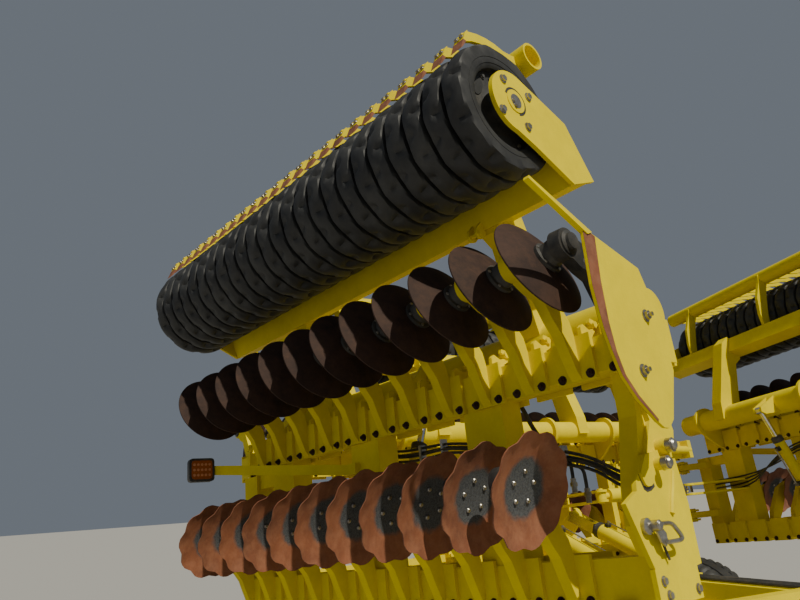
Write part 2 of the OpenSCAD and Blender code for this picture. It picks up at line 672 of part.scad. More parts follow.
drawbar_x1 = tilt_x + drawbar_l - 120;
drawbar_bend = drawbar_x1 - 2250;
drawbar_nose = drawbar_x1 - 140;
tilt_barrel_pin = [1870, 1080];
module drawbar() {
    color("gold") {
        side_plate([
            [box_x1, tilt_z - 120], [drawbar_bend, tilt_z - 120], [drawbar_nose, hitch_z - 50],
            [drawbar_x1, hitch_z - 50],
            [drawbar_x1, hitch_z + 60], [drawbar_nose, hitch_z + 80], [drawbar_bend + 100, tilt_z + 120],
            [box_x1, tilt_z + 120]
        ], 200, 0);
        slab(tilt_barrel_pin[0] - 60, tilt_barrel_pin[0] + 60, -330, 330, tilt_z - 100, tilt_z);
        both_sides() {
            for (side = [-1, 1])
                side_plate([
                    [tilt_barrel_pin[0] - 60, tilt_z - 5], [tilt_barrel_pin[0] + 60, tilt_z - 5],
                    [tilt_barrel_pin[0] + 50, tilt_barrel_pin[1] + 20],
                    [tilt_barrel_pin[0] + 25, tilt_barrel_pin[1] + 48],
                    [tilt_barrel_pin[0] - 25, tilt_barrel_pin[1] + 48],
                    [tilt_barrel_pin[0] - 50, tilt_barrel_pin[1] + 20]
                ], 20, front_gap_y + side * 42);
            cross_bar(tilt_barrel_pin[0], front_gap_y, tilt_barrel_pin[1], 50, 124);
            side_brace();
        }
        leaned() slab(cradle_x1, cradle_x1 + 110, -100, 100, cradle_z - 60, cradle_z + 60);
    }
}
module side_brace() {
    translate([0, 0, tilt_z - 120]) linear_extrude(110)
        polygon([[box_x1, 380], [box_x1, 490], [2300, 150], [2400, 95], [2160, 95]]);
}

// The cradles that the folded wings' front beams lie over, drawn in the leaned frame
cradle_z = 3850;
cradle_end = hinge_y - 215;
cradle_gap = 6;
cradle_x0 = front_beam_x + beam_w / 2 + cradle_gap;
cradle_x1 = cradle_x0 + 214;
module cradles() {
    color("gold") leaned() {
        translate([0, 0, cradle_z - 50]) linear_extrude(100) polygon([
            [cradle_x0, -cradle_end], [cradle_x0, 300 - cradle_end], [cradle_x0 + 60, 370 - cradle_end],
            [cradle_x0 + 100, -140],
            [cradle_x0 + 100, 140], [cradle_x0 + 60, cradle_end - 370], [cradle_x0, cradle_end - 300],
            [cradle_x0, cradle_end],
            [cradle_x0 + 80, cradle_end], [cradle_x1, 140], [cradle_x1, -140], [cradle_x0 + 80, -cradle_end]
        ]);
    }
}

module hitch() {
    color("gold") difference() {
        union() {
            slab(drawbar_x1, drawbar_x1 + 30, -90, 90, hitch_z - 60, hitch_z + 60);
            slab(drawbar_x1 + 25, tilt_x + drawbar_l, -45, 45, hitch_z - 30, hitch_z + 30);
            translate([tilt_x + drawbar_l, 0, hitch_z - 30]) cylinder(r = 65, h = 60, $fn = 64);
        }
        translate([tilt_x + drawbar_l, 0, hitch_z - 40]) cylinder(d = hitch_bore_d, h = 80, $fn = 64);
    }
}

// The parking jack beside the drawbar
jack_x = tilt_x + jack_ahead;
jack_y = 160;
jack_s = 80;
module jack_sleeve() {
    color("dimgray") {
        difference() {
            slab(jack_x - 50, jack_x + 50, jack_y - 50, jack_y + 50, 350, 950);
            slab(jack_x - jack_s / 2 - 0.3, jack_x + jack_s / 2 + 0.3, jack_y - jack_s / 2 - 0.3,
                jack_y + jack_s / 2 + 0.3, 300, 1000);
        }
        slab(jack_x - 90, jack_x + 90, 100, 111, 640, 780);
    }
}
module jack_leg() {
    color("dimgray") {
        slab(jack_x - jack_s / 2, jack_x + jack_s / 2, jack_y - jack_s / 2, jack_y + jack_s / 2, 10, 900);
        slab(jack_x - 120, jack_x + 120, jack_y - 120, jack_y + 120, 0, 20);
    }
}

// A transport wheel: tyre, dished rim and hub round the axle's bore
module wheel(y) {
    color("dimgray") translate([axle_x, y, axle_z]) rotate([90, 0, 0]) rotate_extrude($fn = 96) polygon([
        [40 + run, -80], [95, -80], [95, -30], [230, -30], [245, -150], [275, -170],
        [330, -wheel_w / 2 + 6],
        [450, -wheel_w / 2], [505, -wheel_w / 2 + 30], [wheel_d / 2, -wheel_w / 2 + 80],
        [wheel_d / 2, wheel_w / 2 - 80], [505, wheel_w / 2 - 30], [450, wheel_w / 2],
        [330, wheel_w / 2 - 6],
        [275, 170], [245, 150], [230, -5], [95, -5], [95, 80], [40 + run, 80]
    ]);
}

// Cylinders point from the pin along +Z; their pins lie along Y
module barrel(l, d, bore, eye_d) {
    start = eye_d / 2 + 35;
    color("gold") difference() {
        union() {
            rotate([90, 0, 0]) cylinder(d = eye_d, h = ram_eye_w, center = true, $fn = 48);
            translate([0, 0, eye_d * 0.3]) cylinder(d = ram_eye_w - 4, h = start, $fn = 48);
            translate([0, 0, start]) cylinder(d = d, h = l - start, $fn = 48);
        }
        translate([0, 0, start + 20]) cylinder(d = bore + 0.4, h = l, $fn = 48);
        rotate([90, 0, 0]) cylinder(d = ram_pin(d) + 2 * run, h = ram_eye_w * 2, center = true, $fn = 48);
    }
}
function ram_pin(d) = d > 100 ? 50 : 40;
module rod(pin_l, inner, d, eye_w) {
    color("silver") {
        translate([0, 0, inner]) cylinder(d = d, h = pin_l - inner, $fn = 36);
        translate([0, 0, pin_l]) rotate([90, 0, 0])
            cylinder(d = d * 1.4, h = eye_w, center = true, $fn = 36);
    }
}
// A rod whose end is a long fork round a plate
module forked_rod(pin_l, inner, d, fork_l) {
    color("silver") {
        translate([0, 0, inner]) cylinder(d = d, h = pin_l - fork_l - inner, $fn = 36);
        for (side = [-1, 1])
            translate([-40, side * 31 - 11, pin_l - fork_l - 10]) cube([80, 22, fork_l + 60]);
        translate([-40, -42, pin_l - fork_l - 40]) cube([80, 84, 40]);
    }
}

// The tilt cylinders lie in the root's own frame
tilt_eye = leaned_point([tilt_pin[0], 0, tilt_pin[1]]);
tilt_dx = tilt_eye[0] - tilt_barrel_pin[0];
tilt_dz = tilt_eye[2] - tilt_barrel_pin[1];
tilt_l = sqrt(pow(tilt_dx, 2) + pow(tilt_dz, 2));
module on_tilt_line() {
    both_sides() translate([tilt_barrel_pin[0], front_gap_y, tilt_barrel_pin[1]])
        rotate([0, atan2(tilt_dx, tilt_dz), 0])
        children();
}
module tilt_barrels() { on_tilt_line() barrel(tilt_l - 255, 120, 60, 90); }
module tilt_rods() { on_tilt_line() forked_rod(tilt_l, 110, 60, 190); }

// The fold cylinders lie in the leaned frame and end at the folded wing's pin
fold_eye = [
    folded_y([0, fold_rod_pin[0], fold_rod_pin[1]]),
    folded_z([0, fold_rod_pin[0], fold_rod_pin[1]])
];
fold_dy = fold_eye[0] - fold_barrel_pin[0];
fold_dz = fold_eye[1] - fold_barrel_pin[1];
fold_l = sqrt(pow(fold_dy, 2) + pow(fold_dz, 2));
module on_fold_line(side) {
    leaned() translate([fold_x, side * fold_barrel_pin[0], fold_barrel_pin[1]])
        rotate([-side * atan2(fold_dy, fold_dz), 0, 0]) rotate([0, 0, 90]) children();
}
module fold_barrel(side) { on_fold_line(side) barrel(fold_l - 110, 120, 60, 90); }
module fold_rod(side) { on_fold_line(side) rod(fold_l, 110, 60, ram_eye_w); }

// The packer cylinders lie between a post and the pivot tube's lever
packer_dx = pivot_x + packer_lever[0] - packer_ram_pin[0];
packer_dz = pivot_z + packer_lever[1] - packer_ram_pin[1];
packer_l = sqrt(pow(packer_dx, 2) + pow(packer_dz, 2));
module on_packer_line(y) {
    translate([packer_ram_pin[0], y, packer_ram_pin[1]])
        rotate([0, atan2(packer_dx, packer_dz), 0]) children();
}
module packer_barrel(y) { on_packer_line(y) barrel(560, 90, 45, 80); }
module packer_rod(y) { on_packer_line(y) rod(packer_l, 280, 45, 54); }

module in_centre() {
    translate([shift_x, 0, 0]) leaned() children();
}
module in_wing(side) {
    translate([shift_x, 0, 0]) wing(side) children();
}
module in_root() {
    translate([shift_x, 0, 0]) children();
}
// Where the packers' shafts end, beyond the outermost rings
shaft_reach = ring_w / 2 + 42;
centre_shaft = ring_pitch * (centre_ring_count - 0.5) + shaft_reach;
wing_shaft_y0 = wing_ring_y - shaft_reach;
wing_shaft_y1 = wing_ring_y + (wing_ring_count - 1) * ring_pitch + shaft_reach;
wing_tube_y0 = hinge_y + 215;
wing_tube_y1 = hook_y + 50;
module wing_packer_frame() {
    packer_frame(wing_tube_y0, wing_tube_y1, wing_shaft_y0, wing_shaft_y1,
        [hinge_y + 775, hinge_y + 2475],
        [wing_shaft_y0 + bearing_t / 2, wing_shaft_y1 - bearing_t / 2], [wing_ram_y], [hinge_y + 2415]);
}
module wing_scrapers() {
    scrapers(wing_shaft_y0 + 5, wing_shaft_y1 - 30, wing_ring_y, wing_ring_count,
        [hinge_y + 275, hinge_y + 1275, hinge_y + 2275]);
}
rear_end_x = leaned_point([packer_x, 0, packer_z])[0] - ring_d / 2;
shift_x = -(rear_end_x + tilt_x + drawbar_l + 65) / 2;

in_centre()  // centre_front_beam
    beam(front_beam_x, -centre_front_end, centre_front_end);
in_centre()  // centre_rear_beam
    beam(rear_beam_x, -centre_rear_end, centre_rear_end);
in_centre() both_sides() posts(centre_posts);
in_centre()  // centre_front_arms
    both_sides() front_arms(front_first_y, centre_front_count);
in_centre()  // centre_front_discs
    both_sides() front_discs(front_first_y, centre_front_count);
in_centre()  // centre_rear_arms
    both_sides() rear_arms(rear_first_y, centre_rear_count);
in_centre()  // centre_rear_discs
    both_sides() rear_discs(rear_first_y, centre_rear_count);
in_centre() centre_brackets();
in_centre()  // centre_packer_frame
    packer_frame(215 - hinge_y, hinge_y - 215, -centre_shaft, centre_shaft, [-1700, -800, 800, 1700],
        [bearing_t / 2 - centre_shaft, centre_shaft - bearing_t / 2], [-centre_ram_y, centre_ram_y], []);
in_centre()  // centre_scrapers
    scrapers(-centre_shaft - 8, centre_shaft + 8, -ring_pitch * (centre_ring_count - 0.5),
        2 * centre_ring_count, [-1500, -500, 500, 1500]);
in_centre()  // centre_packer
    packer_roll(-ring_pitch * (centre_ring_count - 0.5), 2 * centre_ring_count,
        -centre_shaft, centre_shaft);

in_wing(1) beam(front_beam_x, wing_front_start, hook_y);  // left_front_beam
in_wing(1) beam(rear_beam_x, wing_rear_start, tip_y);  // left_rear_beam
in_wing(1) {  // left_posts
    posts(wing_posts);
    wing_brace();
}
in_wing(1) front_arms(wing_front_y, wing_front_count);  // left_front_arms
in_wing(1) front_discs(wing_front_y, wing_front_count);  // left_front_discs
in_wing(1) rear_arms(wing_rear_y, wing_rear_count);  // left_rear_arms
in_wing(1) rear_discs(wing_rear_y, wing_rear_count);  // left_rear_discs
in_wing(1) wing_brackets();  // left_brackets
in_wing(1) wing_packer_frame();  // left_packer_frame
in_wing(1) wing_scrapers();  // left_scrapers
in_wing(1)  // left_packer
    packer_roll(wing_ring_y, wing_ring_count, wing_shaft_y0, wing_shaft_y1);
in_wing(1) end_frame();  // left_end_frame
in_wing(1) lamp();  // left_lamp

in_wing(-1) beam(front_beam_x, wing_front_start, hook_y);  // right_front_beam
in_wing(-1) beam(rear_beam_x, wing_rear_start, tip_y);  // right_rear_beam
in_wing(-1) {  // right_posts
    posts(wing_posts);
    wing_brace();
}
in_wing(-1) front_arms(wing_front_y, wing_front_count);  // right_front_arms
in_wing(-1) front_discs(wing_front_y, wing_front_count);  // right_front_discs
in_wing(-1) rear_arms(wing_rear_y, wing_rear_count);  // right_rear_arms
in_wing(-1) rear_discs(wing_rear_y, wing_rear_count);  // right_rear_discs
in_wing(-1) wing_brackets();  // right_brackets
in_wing(-1) wing_packer_frame();  // right_packer_frame
in_wing(-1) wing_scrapers();  // right_scrapers
in_wing(-1)  // right_packer
    packer_roll(wing_ring_y, wing_ring_count, wing_shaft_y0, wing_shaft_y1);
in_wing(-1) end_frame();  // right_end_frame
in_wing(-1) lamp();  // right_lamp

in_root() carriage();
in_root() drawbar();
in_root() cradles();
in_root() hitch();
in_root() jack_sleeve();
in_root() jack_leg();
in_root() wheel(wheel_arm_y + wheel_gap / 2);  // wheel_left_outer
in_root()  // wheel_left_inner
    mirror([0, 1, 0]) wheel(-wheel_arm_y + wheel_gap / 2);
in_root() wheel(-wheel_arm_y + wheel_gap / 2);  // wheel_right_inner
in_root()  // wheel_right_outer
    mirror([0, 1, 0]) wheel(wheel_arm_y + wheel_gap / 2);
in_root() tilt_barrels();
in_root() tilt_rods();
in_root() fold_barrel(1);  // left_fold_barrel
in_root() fold_rod(1);  // left_fold_rod
in_root() fold_barrel(-1);  // right_fold_barrel
in_root() fold_rod(-1);  // right_fold_rod
in_centre() both_sides() packer_barrel(centre_ram_y);  // centre_packer_barrels
in_centre() both_sides() packer_rod(centre_ram_y);  // centre_packer_rods
in_wing(1) packer_barrel(wing_ram_y);  // left_packer_barrel
in_wing(1) packer_rod(wing_ram_y);  // left_packer_rod
in_wing(-1) packer_barrel(wing_ram_y);  // right_packer_barrel
in_wing(-1) packer_rod(wing_ram_y);  // right_packer_rod
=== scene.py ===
"""Looks for the folded disc harrow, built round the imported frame.

The harrow is drawn as it works on level ground, in metres, with X forwards, Y to the left and Z up,
and each section is carried from there to where it stands once it is folded and leaned back.
"""
import math
from collections import namedtuple

import bmesh
import bpy
from mathutils import Matrix, Vector


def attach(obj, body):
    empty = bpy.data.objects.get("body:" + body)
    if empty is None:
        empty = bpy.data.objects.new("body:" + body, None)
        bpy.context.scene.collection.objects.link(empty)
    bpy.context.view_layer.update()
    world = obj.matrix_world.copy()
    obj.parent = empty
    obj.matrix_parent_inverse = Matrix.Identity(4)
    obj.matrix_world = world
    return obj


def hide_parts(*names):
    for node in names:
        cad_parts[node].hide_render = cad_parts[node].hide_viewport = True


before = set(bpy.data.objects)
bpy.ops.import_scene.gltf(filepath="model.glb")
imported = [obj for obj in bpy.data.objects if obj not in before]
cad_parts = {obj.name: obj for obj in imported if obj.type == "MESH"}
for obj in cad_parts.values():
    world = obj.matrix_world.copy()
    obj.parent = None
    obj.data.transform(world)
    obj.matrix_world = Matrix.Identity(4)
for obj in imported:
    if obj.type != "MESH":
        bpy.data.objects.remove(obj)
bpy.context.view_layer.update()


# Painted steelwork
# Beams, posts, arms, brackets, packer frames and carriage are square and round tube and flame-cut plate,
# welded up and sprayed with yellow enamel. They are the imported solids, with a film of dust in patches.
class Socket:
    """An output in a material's node tree; sums and products with it add Math nodes."""

    def __init__(self, tree, output=None):
        self.tree = tree
        self.output = output

    def feed(self, inputs, values):
        """Links each input to another node's output, or sets it to a number or a colour."""
        for key, value in values.items():
            if isinstance(value, Socket):
                self.tree.links.new(value.output, inputs[key])
            else:
                inputs[key].default_value = (*value, 1) if isinstance(value, tuple) else value

    def node(self, kind, settings, values, output=0):
        """Adds a node: its settings first, a ramp's stops among them, then its sockets."""
        node = self.tree.nodes.new(kind)
        for key, value in settings.items():
            if key == "stops":
                for stop, (place, colour) in zip(node.color_ramp.elements, value):
                    stop.position = place
                    stop.color = (*colour, 1)
            else:
                setattr(node, key, value)
        self.feed(node.inputs, values)
        return Socket(self.tree, node.outputs[output])

    def __add__(self, other):
        return self.node("ShaderNodeMath", {"operation": "ADD"}, {0: self, 1: other})

    def __mul__(self, other):
        return self.node("ShaderNodeMath", {"operation": "MULTIPLY"}, {0: self, 1: other})

    __radd__ = __add__
    __rmul__ = __mul__

    def shaded(self, *stops):
        """A colour ramp over this value, by (place, colour) stops."""
        return self.node("ShaderNodeValToRGB", {"stops": stops}, {"Fac": self})

    def mask(self, low, high, most=1.0):
        """Nothing up to low, rising to most at high."""
        return self.shaded((low, (0.0, 0.0, 0.0)), (high, (most, most, most)))

    def mixed(self, share, first, second):
        """The first colour where the share is 0 and the second where it is 1."""
        return self.node("ShaderNodeMix", {"data_type": "RGBA"}, {"Factor": share, 6: first, 7: second}, 2)


def finish(name, colour, rough):
    """A material with its shader's plain settings, and its node tree as a Socket."""
    material = bpy.data.materials.new(name)
    material.use_nodes = True
    tree = Socket(material.node_tree)
    shader = material.node_tree.nodes["Principled BSDF"].inputs
    tree.feed(shader, {"Base Color": colour, "Roughness": rough})
    return material, tree, shader


def worn(name, base, dark, dust, dusty, rough, metal=0.0, gloss=0.5, broad=2.5, fine=60.0, bump=0.0015,
         scoured=None):
    """A finish of two tones in broad patches, with specks of the darker one and dust on top.

    On a disc, scoured gives two tones of bare steel round the hub, where soil has rubbed the finish off.
    reach is the share of the disc's radius.
    """
    material, tree, shader = finish(name, base, rough)
    at = tree.node("ShaderNodeTexCoord", {}, {}, "Object")

    def cloud(scale, detail, roughness):
        return tree.node("ShaderNodeTexNoise", {},
                         {"Vector": at, "Scale": scale, "Detail": detail, "Roughness": roughness})

    grain = cloud(fine, 6, 0.65)
    tone = cloud(broad, 5, 0.55).shaded((0.3, dark), (0.62, base))
    tone = tree.mixed(0.22, tone, tree.mixed(grain.mask(0.42, 0.75), base, dark))
    tone = tree.mixed(cloud(broad * 3.3, 7, 0.7).mask(0.42, 0.72, dusty), tone, dust)
    if scoured:
        reach = tree.node("ShaderNodeAttribute", {"attribute_name": "reach"}, {}, "Fac")
        ragged = 0.22 * cloud(22, 6, 0.6) + reach
        steel = tree.mixed(cloud(150, 3, 0.7).mask(0.40, 0.66), *scoured)
        tone = tree.mixed(ragged.mask(0.56, 0.66), steel, tone)
    bumps = tree.node("ShaderNodeBump", {}, {"Strength": 0.5, "Distance": bump, "Height": grain}, "Normal")
    tree.feed(shader, {"Base Color": tone, "Normal": bumps})
    tree.feed(shader, {"Metallic": metal, "Specular IOR Level": gloss})
    return material


def paint(node, material):
    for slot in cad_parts[node].material_slots:
        slot.material = material


ENAMEL = worn("yellow_paint", (0.84, 0.68, 0.004), (0.74, 0.585, 0.003), (0.46, 0.36, 0.03), 0.22, 0.5,
              gloss=0.12)
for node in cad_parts:
    paint(node, ENAMEL)


# Front discs
# Dished discs of pressed steel, 455 mm across, with ten waves in the rim, hung from the bent arms in one
# row. Soil has scoured the middles bare and the rest has rusted. Five dome bolts hold each to its hub.
TURN = 2 * math.pi
SECTIONS = ("centre", "left", "right")
BODY = {"centre": "centre", "left": "left_wing", "right": "right_wing"}
MIRROR = Matrix.Scale(-1, 4, (0, 1, 0))


def about(pin, angle, axis):
    """A turn about a pin."""
    return Matrix.Translation(pin) @ Matrix.Rotation(angle, 4, axis) @ Matrix.Translation(-Vector(pin))


CARRIAGE = Matrix.Translation((-2.618101818908236, 0, 0))
LEANED = CARRIAGE @ about((0.520, 0, 1.000), math.radians(85), "Y")
FOLDED = about((0, 2.225, 0.980), math.radians(101.6), "X")
STANDS = {"root": CARRIAGE, "centre": LEANED, "left": LEANED @ FOLDED, "right": MIRROR @ LEANED @ FOLDED}


class Piece:
    """Gathers forms drawn as a section works, and makes one mesh of them where the section stands."""

    def __init__(self, name, section, *materials):
        self.name = name
        self.stands = STANDS[section]
        self.materials = materials
        self.forms = bmesh.new()

    def add(self, form, material=None, place=Matrix()):
        """Copies a form to its place; without a material its faces keep the ones they have."""
        if material:
            for face in form.faces:
                face.material_index = self.materials.index(material)
        copy = bpy.data.meshes.new("copy")
        form.to_mesh(copy)
        copy.transform(place)
        self.forms.from_mesh(copy)
        bpy.data.meshes.remove(copy)

    def done(self, body, slot, *replaced):
        bmesh.ops.remove_doubles(self.forms, verts=self.forms.verts, dist=0.00002)
        bmesh.ops.transform(self.forms, matrix=self.stands, verts=self.forms.verts)
        bmesh.ops.recalc_face_normals(self.forms, faces=self.forms.faces)
        for layer in self.forms.verts.layers.int.values():
            self.forms.verts.layers.int.remove(layer)
        mesh = bpy.data.meshes.new(self.name)
        self.forms.to_mesh(mesh)
        self.forms.free()
        for material in self.materials:
            mesh.materials.append(material)
        mesh.shade_smooth()
        mesh.set_sharp_from_angle(angle=math.radians(32))
        piece = bpy.data.objects.new(self.name, mesh)
        bpy.context.collection.objects.link(piece)
        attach(piece, body)
        if replaced:
            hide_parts(*replaced)


def turned(profile, steps, wave=None, start=0.0, sweep=TURN):
    """A profile of (radius, height) points spun about the local Z axis, as on a lathe.

    wave(row, angle) gives what a point of that row is moved by, in radius and in height.
    """
    form = bmesh.new()
    rows = form.verts.layers.int.new("row")
    points = [form.verts.new((radius, 0, height)) for radius, height in profile]
    for row, point in enumerate(points):
        point[rows] = row
    edges = [form.edges.new(ends) for ends in zip(points, points[1:])]
    bmesh.ops.rotate(form, verts=points, cent=(0, 0, 0), matrix=Matrix.Rotation(start, 3, "Z"))
    bmesh.ops.spin(form, geom=points + edges, cent=(0, 0, 0), axis=(0, 0, 1), dvec=(0, 0, 0),
                   angle=sweep, steps=steps, use_merge=sweep == TURN)
    for point in form.verts if wave else ():
        step = round(math.atan2(point.co.y, point.co.x) * steps / TURN) % steps
        angle = TURN * step / steps
        grow, rise = wave(point[rows], angle)
        radius, height = profile[point[rows]]
        point.co = ((radius + grow) * math.cos(angle), (radius + grow) * math.sin(angle), height + rise)
    return form


def facing(x, y, z, out):
    """Local Z across the way of travel: to the left for out = 1 and to the right for out = -1."""
    return Matrix.Translation((x, y, z)) @ Matrix.Rotation(math.radians(-90 * out), 4, "X")


def around(radius, angle, height):
    return Matrix.Translation((radius * math.cos(angle), radius * math.sin(angle), height))


DISC_PITCH = 0.25
DISC_R = 0.2275
DISC_FLAT_R = 0.075
DISC_DISH = 0.045
DISC_T = 0.006
DISC_SET = 1.7
DISC_BOLTS = 5
DISC_BOLT_R = 0.062
REAR_START = 0.1865

# A row's place, the discs' angle to the way of travel, the turn that gives it, the side that the arms are
# on, the beam, and then for half of the centre section and for a wing: the first disc, the number of discs
Row = namedtuple("Row", "x z angle turn out beam_x starts counts")
FRONT = Row(0.0, 0.300, math.radians(20.35), -math.radians(20.35), -1, 0.345,
            (DISC_PITCH, 10 * DISC_PITCH), (9, 11))
REAR = Row(-0.835, 0.319, math.radians(20.2), math.radians(20.2) - math.pi, 1, -0.520,
           (REAR_START, REAR_START + 9 * DISC_PITCH), (9, 12))


def places(section, row):
    """Each disc of a row: its side, its number, how far out it is, and where it stands on edge."""
    wing = section != "centre"
    for side in (Matrix(),) if wing else (Matrix(), MIRROR):
        for number in range(row.counts[wing]):
            y = row.starts[wing] + number * DISC_PITCH
            turn = Matrix.Rotation(row.turn, 4, "Z") @ Matrix.Rotation(math.radians(-90), 4, "X")
            yield side, number, y, side @ Matrix.Translation((row.x, y, row.z)) @ turn


hollow = [(0.0, -DISC_DISH)]
for step in range(8):
    radius = DISC_FLAT_R + (DISC_R - DISC_FLAT_R) * step / 7
    climb = (radius ** 2 - DISC_FLAT_R ** 2) / (DISC_R ** 2 - DISC_FLAT_R ** 2)
    hollow.append((radius, -DISC_DISH * (1 - climb)))
DISC = hollow + [(radius, height - DISC_T) for radius, height in reversed(hollow)]
RIM_WAVES = 10
RIM_DIP = 0.0165
RIM_SHARES = (0.35, 0.7, 1)


def rim_wave(row, angle):
    """The last three rows of either face go inwards between two waves, the rim's own the most."""
    ring = min(row, len(DISC) - 1 - row) - len(hollow) + len(RIM_SHARES)
    if ring < 0:
        return 0, 0
    dip = ((1 + math.cos(RIM_WAVES * angle)) / 2) ** 1.6
    return -RIM_DIP * dip * RIM_SHARES[ring], 0


def hang_discs(section, name, slot, row, wave, *materials):
    """One row of discs: the hollow faces in the first material, and rims and backs in the second."""
    disc = turned(DISC, 60, wave)
    rows = disc.verts.layers.int["row"]
    reach = disc.verts.layers.float.new("reach")
    for point in disc.verts:
        point[reach] = DISC[point[rows]][0] / DISC_R
    for face in disc.faces:
        face.material_index = int(max(point[rows] for point in face.verts) >= len(hollow))
    dome = turned([(0.0105, -0.001), (0.0105, 0.004), (0.0075, 0.0085), (0.0, 0.0095)], 10)
    piece = Piece(f"{section}_{name}_disc_set", section, *materials)
    for _, number, _, place in places(section, row):
        place = place @ Matrix.Rotation(number * DISC_SET, 4, "Z")
        piece.add(disc, None, place)
        for bolt in range(DISC_BOLTS):
            spot = around(DISC_BOLT_R, TURN * bolt / DISC_BOLTS + number, -DISC_DISH)
            piece.add(dome, materials[-1], place @ spot)
    piece.done(BODY[section], slot, f"{section}_{name}_discs")


RUST = worn("rust", (0.235, 0.078, 0.034), (0.10, 0.036, 0.020), (0.33, 0.145, 0.075), 0.6, 0.8, broad=5,
            fine=90)
RUSTY_FACE = worn("worn_disc", (0.255, 0.085, 0.037), (0.13, 0.046, 0.024), (0.35, 0.155, 0.08), 0.6, 0.75,
                  broad=5, fine=90, scoured=((0.085, 0.090, 0.096), (0.030, 0.032, 0.036)))
ZINC = worn("zinc", (0.50, 0.49, 0.45), (0.26, 0.24, 0.20), (0.24, 0.18, 0.12), 0.5, 0.33, 0.9, broad=20)
for section in SECTIONS:
    hang_discs(section, "front", "rusty_disc", FRONT, rim_wave, RUSTY_FACE, RUST, ZINC)


# Rear discs
# The same pressing with a plain rim, turned the other way to throw the soil back. Their rust, and the bare
# steel round the hubs, are drawn browner and darker than on the front row. This is partly the discs' own
# colour and partly painted shade, as this row lies in shadow.
# Painted shade: the backs' brown is darkened for the shadow this row lies in.
DARK_STEEL_IN_SHADE = worn("dark_steel_in_painted_shade", (0.048, 0.027, 0.021), (0.022, 0.014, 0.012), (0.095, 0.048, 0.030), 0.5, 0.75,
             gloss=0.2, broad=5)
# Painted shade: the hollow faces' rust and bare steel are darkened the same way.
DARK_HOLLOW_IN_SHADE = worn("dark_disc", (0.085, 0.036, 0.022), (0.034, 0.017, 0.012), (0.15, 0.070, 0.040), 0.5, 0.6,
                  0.1, broad=5, scoured=((0.070, 0.066, 0.064), (0.026, 0.025, 0.025)))
for section in SECTIONS:
    hang_discs(section, "rear", "dark_disc", REAR, None, DARK_HOLLOW_IN_SHADE, DARK_STEEL_IN_SHADE, ZINC)


# Hubs
# Black iron castings bolted to the back of each disc. The bearing's cap closes the arm's eye on its outer
# side. On the front arms a black ring through the eye covers the yellow arm there. It is painted shade, for
# the shadow between the discs.
def drum(form, sides, radius, height):
    """A straight boss from the local XY plane up, with its first corner on the local X axis."""
    bmesh.ops.create_cone(form, cap_ends=True, segments=sides, radius1=radius, radius2=radius, depth=height,
                          matrix=Matrix.Translation((0, 0, height / 2)) @ Matrix.Rotation(TURN / 4, 4, "Z"))


def bolt_head(radius, height):
    """A hexagon head on its washer."""
    form = bmesh.new()
    drum(form, 6, radius, height)
    drum(form, 16, radius * 1.35, 0.003)
    return form


ARM_SHIFT = 0.129
ARM_HALF = 0.025
EYE_HALF = 0.0263
EYE_R = 0.063
UPSIDE_DOWN = Matrix.Rotation(math.pi, 4, "X")
BLACK = worn("black_paint", (0.035, 0.035, 0.035), (0.015, 0.015, 0.015), (0.16, 0.14, 0.11), 0.5, 0.55)
back = -DISC_DISH - DISC_T
flange_t = 0.014
flange = turned([(0.070, back - 0.0005), (0.070, back - flange_t), (0.056, back - 0.018),
                 (0.0535, back - 0.05), (0.0535, back - 0.083)], 28)
cap = turned([(0.050, 0.0005), (0.050, 0.008), (0.036, 0.014), (0.034, 0.026), (0.0, 0.030)], 24)
front_eye_shade = turned([(0.050, -EYE_HALF), (EYE_R, -EYE_HALF), (EYE_R, EYE_HALF), (0.050, EYE_HALF)], 40)
nut = bolt_head(0.006, 0.006)
for section in SECTIONS:
    piece = Piece(f"{section}_hub_castings", section, BLACK, ZINC)
    for row in (FRONT, REAR):
        eye_x = row.x - ARM_SHIFT * math.sin(row.angle)
        for side, number, y, place in places(section, row):
            piece.add(flange, BLACK, place)
            for bolt in range(DISC_BOLTS):
                spot = around(DISC_BOLT_R, TURN * bolt / DISC_BOLTS + number, back - flange_t)
                piece.add(nut, ZINC, place @ spot @ UPSIDE_DOWN)
            if row is FRONT:
                # Painted shade: a black ring over the front arm's yellow eye, which lies in shadow.
                piece.add(front_eye_shade, BLACK, side @ facing(eye_x, y + row.out * ARM_SHIFT, row.z, -1))
            cap_y = y + row.out * (ARM_SHIFT + ARM_HALF)
            piece.add(cap, BLACK, side @ facing(eye_x, cap_y, row.z, row.out))
    piece.done(BODY[section], "dark_paint")


